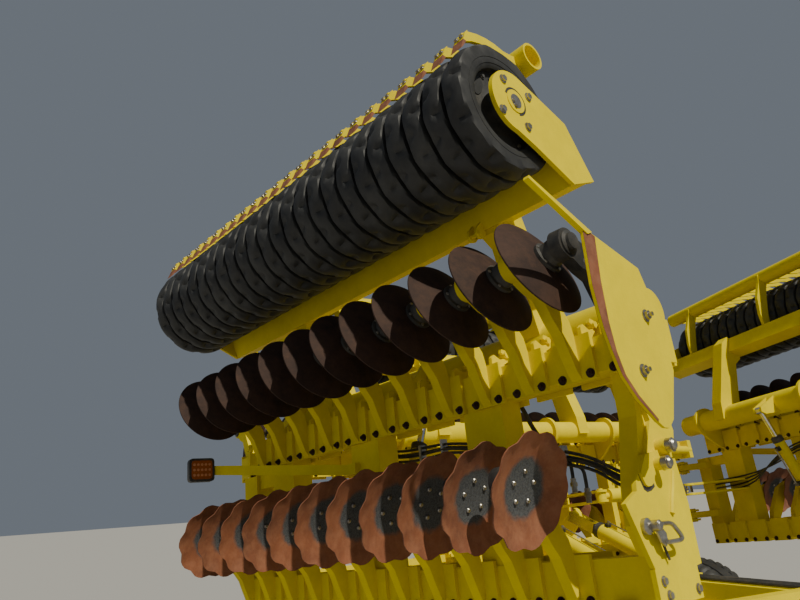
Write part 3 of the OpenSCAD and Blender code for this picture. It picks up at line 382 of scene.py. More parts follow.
# Clamp bolts
# Each arm is held to its beam by two plates with four long steel bolts, which have a washer under the head
# above the beam, and a nut with a bare end of thread below it. They have gone brown. They are drawn in the
# dark brown of the rear discs' backs, which is partly painted shade.
BEAM_Z = 0.730
BEAM_HALF = 0.075
CLAMP_T = 0.022
BOLT_AHEAD = 0.074
BOLT_ASIDE = 0.07
head = bolt_head(0.014, 0.014)
nut = bolt_head(0.015, 0.014)
thread = turned([(0.008, 0.014), (0.008, 0.024), (0, 0.024)], 8)
for section in SECTIONS:
    # The bolts take the rear discs' dark brown, which is partly painted shade.
    piece = Piece(f"{section}_clamp_bolts", section, DARK_STEEL_IN_SHADE)
    for row in (FRONT, REAR):
        for side, _, y, _ in places(section, row):
            for aside in (-BOLT_ASIDE, BOLT_ASIDE):
                bolt_y = y + row.out * ARM_SHIFT + aside
                axis = Matrix.Translation((row.beam_x + BOLT_AHEAD, bolt_y, BEAM_Z))
                under = side @ axis @ Matrix.Translation((0, 0, -BEAM_HALF - CLAMP_T)) @ UPSIDE_DOWN
                piece.add(nut, DARK_STEEL_IN_SHADE, under)
                piece.add(thread, DARK_STEEL_IN_SHADE, under)
                piece.add(head, DARK_STEEL_IN_SHADE, side @ axis @ Matrix.Translation((0, 0, BEAM_HALF + CLAMP_T)))
    piece.done(BODY[section], "dark_disc")


# Last rear arm
# The arm nearest to a wing's tip, fitted where the frame ends, is drawn as a black shell with a long slot,
# round the yellow arm of the imported model, from the clamp under the beam back to the hub. The black is
# painted shade, for the shadow this arm lies in.
def of_kind(parts, kind):
    return [part for part in parts if isinstance(part, kind)]


def thicken(form, thick):
    """Draws a flat form up along the local Z axis."""
    top = bmesh.ops.extrude_face_region(form, geom=form.faces[:])["geom"]
    bmesh.ops.translate(form, vec=(0, 0, thick), verts=of_kind(top, bmesh.types.BMVert))


def cut_plate(outline, thick):
    """A plate cut to an outline of (x, y) points, from the local XY plane up."""
    form = bmesh.new()
    form.faces.new([form.verts.new((x, y, 0)) for x, y in outline])
    thicken(form, thick)
    return form


def stand_plate(piece, outline, near, far, material):
    """Adds a plate cut to an outline of (x, z) points, between two places across the way of travel."""
    piece.add(cut_plate(outline, far - near), material, facing(0, far, 0, -1))


def grown(outline, by):
    """The outline moved outwards by the same amount all round."""
    pairs = list(zip(outline, outline[1:] + outline[:1]))
    way = 1 if sum(a[0] * b[1] - b[0] * a[1] for a, b in pairs) > 0 else -1
    normals = [Vector((b[1] - a[1], a[0] - b[0])).normalized() * way for a, b in pairs]
    return [tuple(Vector(point) + (before + after) * by / (1 + before.dot(after)))
            for point, before, after in zip(outline, normals[-1:] + normals[:-1], normals)]


LAST_ARM_HALF = 0.0262
STEEL = worn("centre_steel", (0.105, 0.108, 0.112), (0.055, 0.055, 0.058), (0.22, 0.11, 0.06), 0.6, 0.55,
             0.3, broad=9)
clamp_x, clamp_z = REAR.beam_x, BEAM_Z - BEAM_HALF - CLAMP_T
eye_x, eye_z = REAR.x - ARM_SHIFT * math.sin(REAR.angle), REAR.z
arm_y = REAR.starts[1] + (REAR.counts[1] - 1) * DISC_PITCH + ARM_SHIFT
arm = grown([
    (clamp_x + 0.092, clamp_z), (clamp_x + 0.060, clamp_z - 0.024), (clamp_x - 0.020, clamp_z - 0.058),
    (clamp_x - 0.092, clamp_z - 0.086), (clamp_x - 0.150, clamp_z - 0.130), (eye_x + 0.118, eye_z + 0.132),
    (eye_x + 0.092, eye_z + 0.064), (eye_x + 0.0558, eye_z + 0.0062), (eye_x - 0.0434, eye_z + 0.031),
    (eye_x - 0.012, eye_z + 0.108), (eye_x + 0.018, eye_z + 0.172), (clamp_x - 0.218, clamp_z - 0.058),
    (clamp_x - 0.160, clamp_z - 0.014), (clamp_x - 0.100, clamp_z),
], 0.0012)
slot = [(eye_x + 0.045, eye_z + 0.085), (eye_x + 0.062, eye_z + 0.080), (eye_x + 0.120, eye_z + 0.165),
        (eye_x + 0.105, eye_z + 0.178)]
for section in SECTIONS[1:]:
    piece = Piece(f"{section}_last_arm_shade", section, BLACK, STEEL)
    # Painted shade: the black shell and eye covers over the yellow arm.
    stand_plate(piece, arm, arm_y - LAST_ARM_HALF, arm_y + LAST_ARM_HALF, BLACK)
    piece.add(turned([(EYE_R, -0.0264), (EYE_R, 0.0264)], 40), BLACK, facing(eye_x, arm_y, eye_z, -1))
    for out in (-1, 1):
        piece.add(turned([(EYE_R, EYE_HALF), (0.0, EYE_HALF)], 40), BLACK, facing(eye_x, arm_y, eye_z, out))
        slot_y = arm_y + out * LAST_ARM_HALF
        stand_plate(piece, slot, slot_y, slot_y + out * 0.0006, STEEL)
    piece.done(BODY[section], "dark_paint")


# Packer rings
# Moulded rubber rings pressed side by side on a steel tube, with a groove between two rings and a crown
# that runs in a zigzag. An end plate with six holes and six bolts closes each end of the drum.
PACKER_X = -1.601
PACKER_Z = 0.327
RING_PITCH = 0.125
RING_R = 0.3135
RING_ZIGZAGS = 9
RING_SET = 0.27
END_HOLES = 6
RING_SWAY = 0.010
BITE_DEEP = 0.017
BITE_LONG = 0.16
PACKERS = {"centre": (-15.5 * RING_PITCH, 32), "left": (2.25, 24), "right": (2.25, 24)}
RUBBER = worn("rubber", (0.020, 0.021, 0.023), (0.012, 0.012, 0.013), (0.075, 0.075, 0.072), 0.5, 0.62,
              broad=1.6, bump=0.0006)
RING_HALF = [
    (0.196, 0.036), (0.206, 0.045), (0.216, 0.047), (0.2165, 0.0495), (0.222, 0.0508), (0.242, 0.0512),
    (0.2425, 0.0495), (0.2455, 0.0495), (0.246, 0.0515), (0.294, 0.0525), (0.3035, 0.047), (0.310, 0.028),
    (0.3132, 0.009),
]
RING = [(radius, -height) for radius, height in RING_HALF] + RING_HALF[::-1]
CROWN_ROWS = 3


def tread(row, angle):
    """The crown sways from side to side, with a bite out of each shoulder where it turns."""
    edge = -1 if row < len(RING_HALF) else 1
    crown = min(row, len(RING) - 1 - row) - len(RING_HALF) + CROWN_ROWS
    if crown < 0:
        return 0, 0
    turn = (RING_ZIGZAGS * angle / TURN + (0.5 if edge > 0 else 0)) % 1.0
    sway = (1 - 4 * abs(turn - 0.5)) * -edge * (0.5, 1.0, 1.0)[crown]
    bite = max(0.0, 1 - abs(turn - 0.5) / BITE_LONG) ** 1.5 * (0.8, 1.0, 0.3)[crown]
    return -BITE_DEEP * bite, RING_SWAY * (sway - edge * bite)


ring = turned(RING, RING_ZIGZAGS * 12, tread)
end_plate = turned([(0.199, 0.012), (0.196, 0.0), (0.110, 0.0), (0.085, 0.012), (0.085, 0.035),
                    (0.046, 0.038), (0.046, 0.062), (0.035, 0.062)], 48)
stub = turned([(0.035, 0.05), (0.035, 0.092), (0, 0.092)], 24)
# Painted shade: each hole is a flat dark patch on the end plate, for the shade inside the drum.
hole = bmesh.new()
drum(hole, 16, 1, 0.003)
bmesh.ops.scale(hole, vec=(0.022, 0.050, 1), verts=hole.verts)
end_bolt = bolt_head(0.009, 0.009)
for section, (start, count) in PACKERS.items():
    piece = Piece(f"{section}_packer_rings", section, RUBBER, BLACK, ZINC)
    for number in range(count):
        turn = Matrix.Rotation(number * RING_SET, 4, "Z")
        piece.add(ring, RUBBER, facing(PACKER_X, start + number * RING_PITCH, PACKER_Z, -1) @ turn)
    low, high = start - 0.053, start + (count - 1) * RING_PITCH + 0.053
    tube = turned([(0.198, 0), (0.198, low - high + 0.04)], 48)
    piece.add(tube, BLACK, facing(PACKER_X, low + 0.02, PACKER_Z, -1))
    for y, out in ((low + 0.045, -1), (high - 0.045, 1)):
        face = facing(PACKER_X, y, PACKER_Z, out)
        piece.add(end_plate, BLACK, face)
        for number in range(END_HOLES):
            turn = face @ Matrix.Rotation(TURN * number / END_HOLES, 4, "Z")
            # The painted shade of each hole.
            piece.add(hole, RUBBER, turn @ Matrix.Translation((0.150, 0, 0.0006)))
            piece.add(end_bolt, ZINC, turn @ around(0.172, 0.5, 0.001) @ Matrix.Rotation(0.5, 4, "Z"))
        piece.add(stub, ZINC, face)
    piece.done(f"{section}_packer", "black_rubber", f"{section}_packer")


# Scraper tips
# A curved flat arm reaches down to each ring from behind. The paint is rubbed off its lower half, which
# has rusted, and two bolts go through it above.
def near_ring(gap, degrees):
    """A point beside a packer, by its gap to the rings and the angle round the shaft."""
    spot = around(RING_R + gap, math.radians(degrees), 0).translation
    return Vector((PACKER_X + spot.x, PACKER_Z + spot.y))


TIP_HALF = 0.0309
top, end = near_ring(0.062, 210), near_ring(0.007, 226)
inner_top, inner_end = near_ring(0.038, 208), near_ring(0.007, 223.5)
blade = grown([top.lerp(end, 0.45), end, inner_end, inner_top.lerp(inner_end, 0.45)], 0.0009)
slope = Matrix.Rotation(math.atan2((end - top).y, (top - end).x), 4, "Y")
bolt_x, bolt_z = top.lerp(end, 0.22)
tip_bolt = bolt_head(0.009, 0.010)
for section, (start, count) in PACKERS.items():
    piece = Piece(f"{section}_scraper_tips", section, RUST, ZINC)
    for number in range(count):
        y = start + number * RING_PITCH
        stand_plate(piece, blade, y - TIP_HALF, y + TIP_HALF, RUST)
        for away in (-0.015, 0.015):
            piece.add(tip_bolt, ZINC, Matrix.Translation((bolt_x, y + away, bolt_z)) @ slope)
    piece.done(f"{section}_packer_frame", "rusty_disc")


# Packer bearings
# The plate at each end of a packer frame holds the shaft's bearing, with four flange bolts round it. A
# yellow cap covers the shaft, with a slit round most of it, drawn as a black ring of painted shade.
BEARING_ENDS = {"centre": (-2.0325, 2.0325), "left": (2.155, 5.220), "right": (2.155, 5.220)}
shaft_cap = turned([(0.057, 0), (0.056, 0.004), (0, 0.004)], 40)
flange_bolt = bolt_head(0.016, 0.013)
cap_bolt = bolt_head(0.008, 0.008)
for section, ends in BEARING_ENDS.items():
    piece = Piece(f"{section}_bearing_caps", section, ZINC, ENAMEL, BLACK)
    for y, out in zip(ends, (-1, 1)):
        for x, z in ((-1.691, 0.263), (-1.665, 0.428), (-1.521, 0.224), (-1.493, 0.385)):
            piece.add(flange_bolt, ZINC, facing(x, y, z, out))
        face = facing(PACKER_X, y, PACKER_Z, out)
        piece.add(shaft_cap, ENAMEL, face)
        slit_from = math.radians(-250 if out > 0 else 11)
        # Painted shade: the slit is a flat black ring on the bearing plate.
        slit = turned([(0.0575, 0.0007), (0.069, 0.0007)], 32, start=slit_from, sweep=math.radians(239))
        piece.add(slit, BLACK, face)
        for x, z in ((-1.596, 0.307), (-1.573, 0.317)):
            piece.add(cap_bolt, ZINC, facing(x, y + out * 0.004, z, out))
    piece.done(f"{section}_packer_frame", "chrome_rod")


# Wing tip and its hoses
# At the tip, a deflector plate with a rusty lower edge is bolted on, and a hook plate carries a tongue, a
# lock with a bent zinc handle, and pins. Four hoses lie on the beams from the hinge to the tip in clips,
# two couplings hang free, and one more hose crosses the rear beam.
HOOK_Y = 5.270
DEFLECTOR_Y = 5.424
DEFLECTOR_T = 0.012
RUSTY_EDGE = [
    (-0.898, 0.278), (-0.667, 0.265), (-0.506, 0.282), (-0.420, 0.308), (-0.335, 0.341), (-0.258, 0.412),
    (-0.181, 0.520), (-0.190, 0.526), (-0.270, 0.424), (-0.340, 0.363), (-0.424, 0.336), (-0.530, 0.325),
    (-0.690, 0.330), (-0.874, 0.353),
]
HOOK_CORNER = [
    (-0.095, 0.700), (-0.093, 0.655), (-0.050, 0.617), (-0.035, 0.609), (0.005, 0.572), (0.045, 0.563),
    (0.074, 0.524), (0.087, 0.480), (0.100, 0.478), (0.130, 0.520), (0.060, 0.640), (0.027, 0.700),
]
# Painted shadow: a black crescent on the hook plate under the tongue's lower edge, where the raised tongue
# shades it.
TONGUE_SHADOW = [
    (-0.020, 0.598), (0.012, 0.606), (0.037, 0.617), (0.047, 0.638), (0.042, 0.670), (0.028, 0.700),
    (0.000, 0.700), (-0.026, 0.640),
]
TONGUE = [
    (-0.092, 0.660), (-0.048, 0.619), (-0.022, 0.600), (0.000, 0.608), (0.021, 0.620), (0.028, 0.636),
    (0.025, 0.658), (0.016, 0.678), (0.005, 0.690), (-0.012, 0.697), (-0.020, 0.720), (-0.041, 0.748),
    (-0.082, 0.768), (-0.110, 0.760),
]
HANDLE = [
    (0.162, 0.572), (0.161, 0.652), (0.165, 0.682), (0.179, 0.701), (0.216, 0.741), (0.225, 0.726),
    (0.226, 0.675), (0.226, 0.628),
]
LINK = [
    (0.166, 0.586), (0.173, 0.625), (0.195, 0.651), (0.226, 0.649), (0.241, 0.631), (0.226, 0.605),
    (0.185, 0.588),
]
STRAP = [(0.176, 0.620), (0.221, 0.646), (0.266, 0.662), (0.288, 0.672)]
RIB = [(-0.028, 0.862), (0.020, 0.842), (0.080, 0.806), (0.130, 0.783)]


def bend(points, rounds=2):
    """The same line with its corners cut, so that it bends smoothly."""
    points = [Vector(point) for point in points]
    for _ in range(rounds):
        cut = [a.lerp(b, share) for a, b in zip(points, points[1:]) for share in (0.25, 0.75)]
        points = [points[0], *cut, points[-1]]
    return points


def hose(points, radius, sides=8):
    """A hose or a round bar, drawn along its points from one end."""
    points = [Vector(point) for point in points]
    form = bmesh.new()
    side = stood = None
    for before, point, after in zip(points[:1] + points, points, points[1:] + points[-1:]):
        along = (after - before).normalized()
        side = (side - along * side.dot(along) if side else along.orthogonal()).normalized()
        stands = Matrix.Translation(point) @ Matrix((side, along.cross(side), along)).transposed().to_4x4()
        if stood:
            drawn = bmesh.ops.extrude_edge_only(form, edges=edges)["geom"]
            ring = of_kind(drawn, bmesh.types.BMVert)
            bmesh.ops.transform(form, matrix=stands @ stood.inverted(), verts=ring)
            edges = of_kind(drawn, bmesh.types.BMEdge)
        else:
            bmesh.ops.create_circle(form, cap_ends=True, segments=sides, radius=radius,
                                    matrix=stands @ Matrix.Rotation(-TURN / 4, 4, "Z"))
            edges = form.edges[:]
        stood = stands
    bmesh.ops.edgeloop_fill(form, edges=edges)
    return form


edge_face = DEFLECTOR_Y + DEFLECTOR_T
for section in SECTIONS[1:]:
    piece = Piece(f"{section}_tip_details", section, ZINC, RUST, ENAMEL, BLACK)
    stand_plate(piece, RUSTY_EDGE, DEFLECTOR_Y - 0.001, edge_face + 0.001, RUST)
    for x, z in ((-0.596, 0.608), (-0.367, 0.492)):
        piece.add(bolt_head(0.019, 0.016), ZINC, facing(x, edge_face, z, 1))
        piece.add(turned([(0.009, 0.016), (0.009, 0.030), (0, 0.030)], 12), ZINC, facing(x, edge_face, z, 1))
    for x, z, r in ((-0.123, 0.793, 0.022), (-0.055, 0.729, 0.020)):
        pin = turned([(r + 0.006, 0.0), (r + 0.006, 0.024), (r, 0.024), (r, 0.030), (r * 0.7, 0.036),
                      (0, 0.038)], 24)
        piece.add(pin, ZINC, facing(x, HOOK_Y + 0.040, z, 1))
    for x, z in ((0.355, 0.620), (0.405, 0.860), (0.405, 0.640)):
        piece.add(bolt_head(0.014, 0.012), ZINC, facing(x, HOOK_Y, z, 1))
    stand_plate(piece, HOOK_CORNER, HOOK_Y - 0.0195, HOOK_Y + 0.0003, ENAMEL)
    # The painted shadow under the tongue.
    stand_plate(piece, TONGUE_SHADOW, HOOK_Y - 0.010, HOOK_Y + 0.0008, BLACK)
    stand_plate(piece, TONGUE, HOOK_Y - 0.001, HOOK_Y + 0.012, ENAMEL)
    piece.add(hose(bend([(x, HOOK_Y, z) for x, z in RIB], 1), 0.013, 10), ENAMEL)
    for z, radius, height in ((0.567, 0.030, 0.016), (0.590, 0.020, 0.048)):
        top = height + 0.006
        pivot = turned([(radius, 0), (radius, height), (radius * 0.6, top), (0, top)], 24)
        piece.add(pivot, ZINC, facing(0.166, HOOK_Y, z, 1))
    piece.add(hose(bend([(x, HOOK_Y + 0.045, z) for x, z in HANDLE]), 0.0085), ZINC)
    stand_plate(piece, LINK, HOOK_Y + 0.026, HOOK_Y + 0.034, ZINC)
    piece.add(hose([(x, HOOK_Y + 0.012, z) for x, z in STRAP], 0.005, 6), BLACK)
    for number, (dx, dz) in enumerate(((0.0, 0.0), (0.024, 0.010), (0.034, -0.014), (0.060, -0.004))):
        inner = 0.035 * number
        end = Vector((-0.03 + dx, 5.12, 0.850 + dz))
        line = [
            (-0.05 - inner, 2.46, 0.817), (-0.06 - inner, 2.95, 0.820),
            (-0.28 + dx, 3.30, 0.850 + dz), (-0.376 + dx, 3.60, 0.850 + dz),
            (-0.352 + dx, 3.76, 0.846 - dz), (-0.350 + dx, 3.95, 0.850 + dz),
            (-0.340 + dx * 0.7, 4.10, 0.850 + dz), (-0.270 + dx, 4.45, 0.852 - dz),
            (-0.195 + dx, 4.76, 0.850 + dz), (-0.135 + dx * 0.8, 4.93, 0.850 + dz),
            (-0.060 + dx, 5.04, 0.850 + dz), end,
        ]
        piece.add(hose(bend(line), 0.0075), BLACK)
        piece.add(hose([end, end + Vector((0.010, 0.045, 0))], 0.0115), ZINC)
    for x, y in ((-0.325, 3.86), (-0.330, 4.03), (-0.170, 4.78)):
        clip = [(x - 0.040, 0.830), (x + 0.048, 0.830), (x + 0.048, 0.870), (x - 0.040, 0.870)]
        stand_plate(piece, clip, y, y + 0.016, ZINC)
    for x, y in ((-0.150, 4.800), (-0.100, 4.862)):
        free = [(x - 0.02, y - 0.05, 0.862), (x, y, 0.866), (x + 0.06, y + 0.003, 0.864),
                (x + 0.09, y + 0.004, 0.860)]
        piece.add(hose(bend(free), 0.008), BLACK)
        piece.add(hose([(x + 0.088, y + 0.004, 0.860), (x + 0.150, y + 0.005, 0.856)], 0.0125, 10), ZINC)
        piece.add(hose([(x + 0.105, y + 0.004, 0.859), (x + 0.122, y + 0.004, 0.858)], 0.0165, 6), ZINC)
    crossing = [(-0.640, 4.50, 0.842), (-0.560, 4.53, 0.842), (-0.500, 4.555, 0.842), (-0.423, 4.597, 0.850),
                (-0.302, 4.643, 0.850), (-0.22, 4.70, 0.862)]
    piece.add(hose(bend(crossing), 0.011), BLACK)
    piece.add(hose([(-0.640, 4.50, 0.842), (-0.680, 4.485, 0.842)], 0.015), ZINC)
    piece.done(BODY[section], "chrome_rod")


# Side lamp
# A black plastic housing with an amber lens and rows of bulbs behind it, on a flat yellow bar that is
# welded to the wing and slants outwards and down.
def plain(name, colour, rough):
    return finish(name, colour, rough)[0]


AMBER = plain("amber_lens", (0.36, 0.085, 0.008), 0.3)
BULB = plain("bulb_lens", (0.62, 0.26, 0.12), 0.3)
LAMP_AT = Vector((-0.457, 2.312, 0.305))
FOOT = Vector((-0.290, 3.480, 0.628))
bar_end = LAMP_AT + Vector((0, -0.012, 0.078))
run = FOOT - bar_end
slant = Matrix(((1, 0, run.x, bar_end.x), (0, 0, run.y, bar_end.y), (0, 1, run.z, bar_end.z), (0, 0, 0, 1)))
front = (Matrix.Translation(LAMP_AT) @ Matrix.Rotation(math.radians(-11.6), 4, "X")
         @ Matrix.Rotation(math.radians(-90), 4, "X"))


def rounded(width, height, thick):
    """A plate with rounded corners about the local Z axis."""
    form = bmesh.new()
    bmesh.ops.create_grid(form, x_segments=1, y_segments=1, size=1,
                          matrix=Matrix.Diagonal((width / 2, height / 2, 1, 1)))
    bmesh.ops.bevel(form, geom=form.verts[:], affect="VERTICES", offset=0.020, segments=2, profile=0.5,
                    material=-1)
    thicken(form, thick)
    return form


housing = rounded(0.150, 0.165, 0.055)
amber_pane = rounded(0.150, 0.165, 0.0035)
bmesh.ops.scale(amber_pane, vec=(0.80, 0.82, 1), verts=amber_pane.verts)
bulb = turned([(0.0095, -0.001), (0.0085, 0.0008), (0.0, 0.0014)], 12)
for section in SECTIONS[1:]:
    piece = Piece(f"{section}_side_lamp", section, BLACK, ENAMEL, AMBER, BULB)
    bar = cut_plate([(-0.0299, -0.0059), (0.0299, -0.0059), (0.0299, 0.0059), (-0.0299, 0.0059)], 1)
    piece.add(bar, ENAMEL, slant)
    foot_plate = [(FOOT.x - 0.03, FOOT.z - 0.006), (FOOT.x + 0.03, FOOT.z - 0.006), (FOOT.x + 0.03, 0.66),
                  (FOOT.x - 0.03, 0.66)]
    stand_plate(piece, foot_plate, FOOT.y - 0.006, FOOT.y + 0.070, ENAMEL)
    piece.add(housing, BLACK, front @ Matrix.Translation((0, 0, -0.030)))
    piece.add(amber_pane, AMBER, front @ Matrix.Translation((0, 0, 0.025)))
    for line in range(5):
        for column in range(3):
            spot = Matrix.Translation((-0.034 + 0.034 * column, -0.050 + 0.025 * line, 0.0285))
            piece.add(bulb, BULB, front @ spot)
    piece.done(BODY[section], "dark_paint", f"{section}_lamp")


# Transport wheels
# Two pairs of wide farm tyres on yellow pressed rims, ten bolts to a rim, with a black cap on the hub.
# The tread has three ribs with lugs on both shoulders.
AXLE = (1.100, 0.535)
LUGS = 44
TYRE_HALF = [
    (0.262, 0.160), (0.275, 0.172), (0.300, 0.184), (0.330, 0.193), (0.400, 0.198), (0.450, 0.200),
    (0.485, 0.184), (0.507, 0.168), (0.524, 0.142), (0.5345, 0.118), (0.5345, 0.068), (0.523, 0.064),
    (0.523, 0.052), (0.535, 0.048),
]
TYRE = [(radius, -height) for radius, height in TYRE_HALF] + TYRE_HALF[::-1]
RIM = [
    (0.0405, -0.080), (0.095, -0.080), (0.095, -0.030), (0.205, -0.030), (0.230, -0.034), (0.243, -0.130),
    (0.247, -0.152), (0.272, -0.170), (0.279, -0.168), (0.262, -0.150), (0.262, 0.150), (0.279, 0.168),
    (0.272, 0.170), (0.247, 0.152), (0.243, 0.130), (0.230, -0.005), (0.095, -0.005), (0.095, 0.080),
    (0.0405, 0.080),
]


def lugs(row, angle):
    """The gaps between the lugs of both shoulders, which are half a lug out of step."""
    if not 7 <= min(row, len(TYRE) - 1 - row) <= 10:
        return 0, 0
    turn = (LUGS * angle / TURN + (0.5 if row >= len(TYRE_HALF) else 0)) % 1.0
    return -0.012 if turn < 0.28 else 0, 0


tyre = turned(TYRE, LUGS * 4, lugs)
rim = turned(RIM, 64)
wheel_bolt = bolt_head(0.013, 0.016)
hub_cap = turned([(0.070, 0), (0.066, 0.010), (0.0, 0.010)], 24)
outer, inner = (facing(AXLE[0], y, AXLE[1], -1) for y in (1.28, -0.72))
for name, place in (("left_outer", outer), ("left_inner", MIRROR @ inner), ("right_inner", inner),
                    ("right_outer", MIRROR @ outer)):
    piece = Piece(f"wheel_{name}_dressed", "root", RUBBER, ENAMEL, ZINC, BLACK)
    piece.add(tyre, RUBBER, place)
    piece.add(rim, ENAMEL, place)
    for number in range(10):
        piece.add(wheel_bolt, ZINC, place @ around(0.165, TURN * number / 10, -0.030) @ UPSIDE_DOWN)
    piece.add(hub_cap, BLACK, place @ Matrix.Translation((0, 0, -0.080)) @ UPSIDE_DOWN)
    piece.done(f"wheel_{name}", "black_rubber", f"wheel_{name}")


# Hydraulic cylinders
# Yellow barrels with chromed rods. A black gland screwed in at the rod's end, two ports with their unions
# and the hard line between them are fitted to each barrel.
CHROME = worn("chrome", (0.80, 0.81, 0.83), (0.62, 0.63, 0.65), (0.5, 0.48, 0.44), 0.2, 0.16, 1.0)
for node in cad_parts:
    if "_rod" in node:
        paint(node, CHROME)


def stroke(pin, eye, y):
    """A cylinder in the plane y: local Z from its pin at (x, z) to the rod's eye, and how far that is."""
    dx, dz = eye[0] - pin[0], eye[1] - pin[1]
    turn = Matrix.Rotation(math.atan2(dx, dz), 4, "Y")
    return Matrix.Translation((pin[0], y, pin[1])) @ turn, math.hypot(dx, dz)


def dress_cylinder(name, section, body, places, length, bore, rod):
    """The fittings on each barrel of a body, by the radius of the barrel and of the rod."""
    piece = Piece(f"{name}_ram_fittings", section, BLACK, ZINC)
    gland = turned([(rod + 0.0015, length), (rod + 0.0015, length + 0.010), (bore * 0.8, length + 0.010),
                    (bore + 0.004, length + 0.002), (bore + 0.004, length - 0.038),
                    (bore, length - 0.040)], 32)
    port = cut_plate([(bore - 0.006, -0.020), (bore + 0.022, -0.020), (bore + 0.022, 0.020),
                      (bore - 0.006, 0.020)], 0.036)
    line = [(bore + 0.036, 0, 0.150), (bore + 0.036, 0, length - 0.085)]
    for place in places:
        piece.add(gland, BLACK, place)
        for _, _, height in line:
            piece.add(port, BLACK, place @ Matrix.Translation((0, 0, height - 0.018)))
            union = [place @ Vector((bore + out, 0, height)) for out in (0.022, 0.046)]
            piece.add(hose(union, 0.012), ZINC)
        piece.add(hose([place @ Vector(point) for point in line], 0.006), ZINC)
    piece.done(body, "dark_paint")


pin = CARRIAGE.inverted() @ LEANED @ Vector((0.070, 0, 1.350))
tilt, length = stroke((1.870, 1.080), (pin.x, pin.z), 0.246)
dress_cylinder("tilt", "root", "tilt_barrels", [tilt, MIRROR @ tilt], length - 0.255, 0.060, 0.030)
fold_pin = Vector((-0.090, 0.600, 1.330))
eye = FOLDED @ Vector((0, 2.640, 1.330))
dy, dz = eye.y - fold_pin.y, eye.z - fold_pin.z
fold = (Matrix.Translation(fold_pin) @ Matrix.Rotation(-math.atan2(dy, dz), 4, "X")
        @ Matrix.Rotation(math.radians(90), 4, "Z"))
length = math.hypot(dy, dz) - 0.110
for name, side in (("left_fold", Matrix()), ("right_fold", MIRROR)):
    dress_cylinder(name, "centre", f"{name}_barrel", [side @ fold], length, 0.060, 0.030)
for section, body, across in (
    ("centre", "centre_packer_barrels", (1.4, -1.4)),
    ("left", "left_packer_barrel", (3.6,)),
    ("right", "right_packer_barrel", (3.6,)),
):
    lifts = [stroke((0.100, 0.880), (-0.660, 1.190), y)[0] for y in across]
    dress_cylinder(f"{section}_packer", section, body, lifts, 0.560, 0.045, 0.0225)


# Drawbar, hitch and jack
# Four hoses run along the drawbar under yellow straps and end in loose couplings over the hitch, a black
# casting on four bolts. The black parking jack has a gear box with a bent crank on its sleeve.
for node in ("hitch", "jack_sleeve", "jack_leg"):
    paint(node, BLACK)
piece = Piece("drawbar_details", "root", BLACK, ZINC, ENAMEL)
for number, y in enumerate((-0.048, -0.016, 0.016, 0.048)):
    odd = number % 2
    line = [(0.90, y, 1.134), (2.20, y, 1.134), (3.50, y, 1.134), (3.62, y, 1.118),
            (5.30, y, 0.690), (5.52, y * 1.3, 0.640), (5.66, y * 2.2, 0.700 + 0.03 * odd),
            (5.58, y * 2.6, 0.790 + 0.04 * odd)]
    piece.add(hose(bend(line), 0.011), BLACK)
    end = Vector(line[-1])
    piece.add(hose([end, end + Vector((-0.05, 0, 0.03))], 0.016), ZINC)
for x in (1.3, 2.1, 2.9, 3.4):
    strap = [(x - 0.02, 1.119), (x + 0.02, 1.119), (x + 0.02, 1.150), (x - 0.02, 1.150)]
    stand_plate(piece, strap, -0.075, 0.075, ENAMEL)
hitch_bolt = bolt_head(0.015, 0.014)
for y in (-0.066, 0.066):
    for z in (0.48, 0.56):
        forwards = Matrix.Translation((5.73, y, z)) @ Matrix.Rotation(TURN / 4, 4, "Y")
        piece.add(hitch_bolt, ZINC, forwards)
gear_box = cut_plate([(-0.035, -0.035), (0.035, -0.035), (0.035, 0.035), (-0.035, 0.035)], 0.05)
piece.add(gear_box, BLACK, Matrix.Translation((4.905, 0.16, 0.860)))
crank = [(4.905, 0.16, 0.885), (4.905, 0.26, 0.885), (4.905, 0.27, 0.885), (4.905, 0.27, 1.02)]
piece.add(hose(bend(crank), 0.010), ZINC)
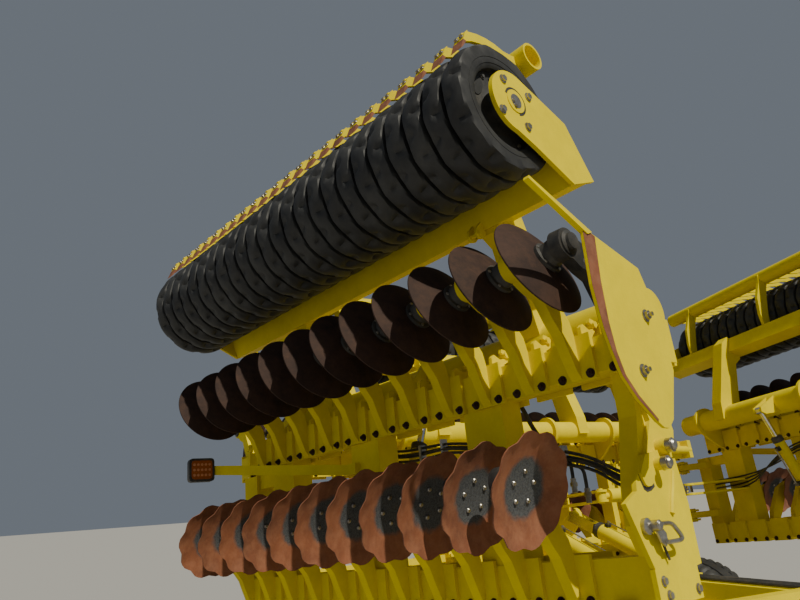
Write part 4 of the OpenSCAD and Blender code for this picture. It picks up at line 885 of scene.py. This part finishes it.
piece.add(hose([(4.905, 0.27, 1.02), (4.905, 0.36, 1.02)], 0.016, 10), BLACK)
piece.done("root", "dark_paint")


# Camera, floor and light
# The camera is fitted to the photograph, about 1.8 m above the floor and close to the near wing's tip. A
# warm sun from the front right and a pale sky light a plain pale floor.
CAMERA_AT = Vector((2.71327, -4.08271, 1.79987))
CAMERA_RIGHT = Vector((0.501923, 0.863105, -0.055884))
CAMERA_UP = Vector((0.257205, -0.087259, 0.962409))
turn = Matrix((CAMERA_RIGHT, CAMERA_UP, CAMERA_RIGHT.cross(CAMERA_UP))).transposed().to_4x4()
camera = bpy.data.objects.new("camera", bpy.data.cameras.new("camera"))
camera.data.lens = 30.745
camera.data.sensor_width = 36
camera.data.clip_start = 0.05
camera.data.clip_end = 200
camera.matrix_world = Matrix.Translation(CAMERA_AT) @ turn
bpy.context.collection.objects.link(camera)
bpy.context.scene.camera = camera


def shine(name, kind, place, target, power, size, colour):
    """A lamp aimed at a target; size is a panel's side in metres or the sun's width in radians."""
    lamp = bpy.data.lights.new(name, kind)
    lamp.energy = power
    lamp.color = colour
    setattr(lamp, "angle" if kind == "SUN" else "size", size)
    stand = bpy.data.objects.new(name, lamp)
    stand.location = place
    stand.rotation_euler = (Vector(target) - Vector(place)).to_track_quat("-Z", "Y").to_euler()
    bpy.context.collection.objects.link(stand)


shine("key", "SUN", (7, 0.3, 8.3), (0, 0, 0), 3.9, 0.012, (1, 0.95, 0.80))
shine("fill", "AREA", (6, -9, 3), (0, -1, 2), 10, 6, (1, 1, 1))
slab = bmesh.new()
bmesh.ops.create_grid(slab, x_segments=1, y_segments=1, size=60)
floor = bpy.data.objects.new("floor", bpy.data.meshes.new("floor"))
slab.to_mesh(floor.data)
slab.free()
floor.data.materials.append(plain("floor_pale", (0.40, 0.39, 0.37), 0.9))
bpy.context.collection.objects.link(floor)
world = bpy.data.worlds.new("studio")
world.use_nodes = True
sky = world.node_tree.nodes["Background"].inputs
sky["Color"].default_value = (0.72, 0.82, 0.95, 1)
sky["Strength"].default_value = 0.20
bpy.context.scene.world = world
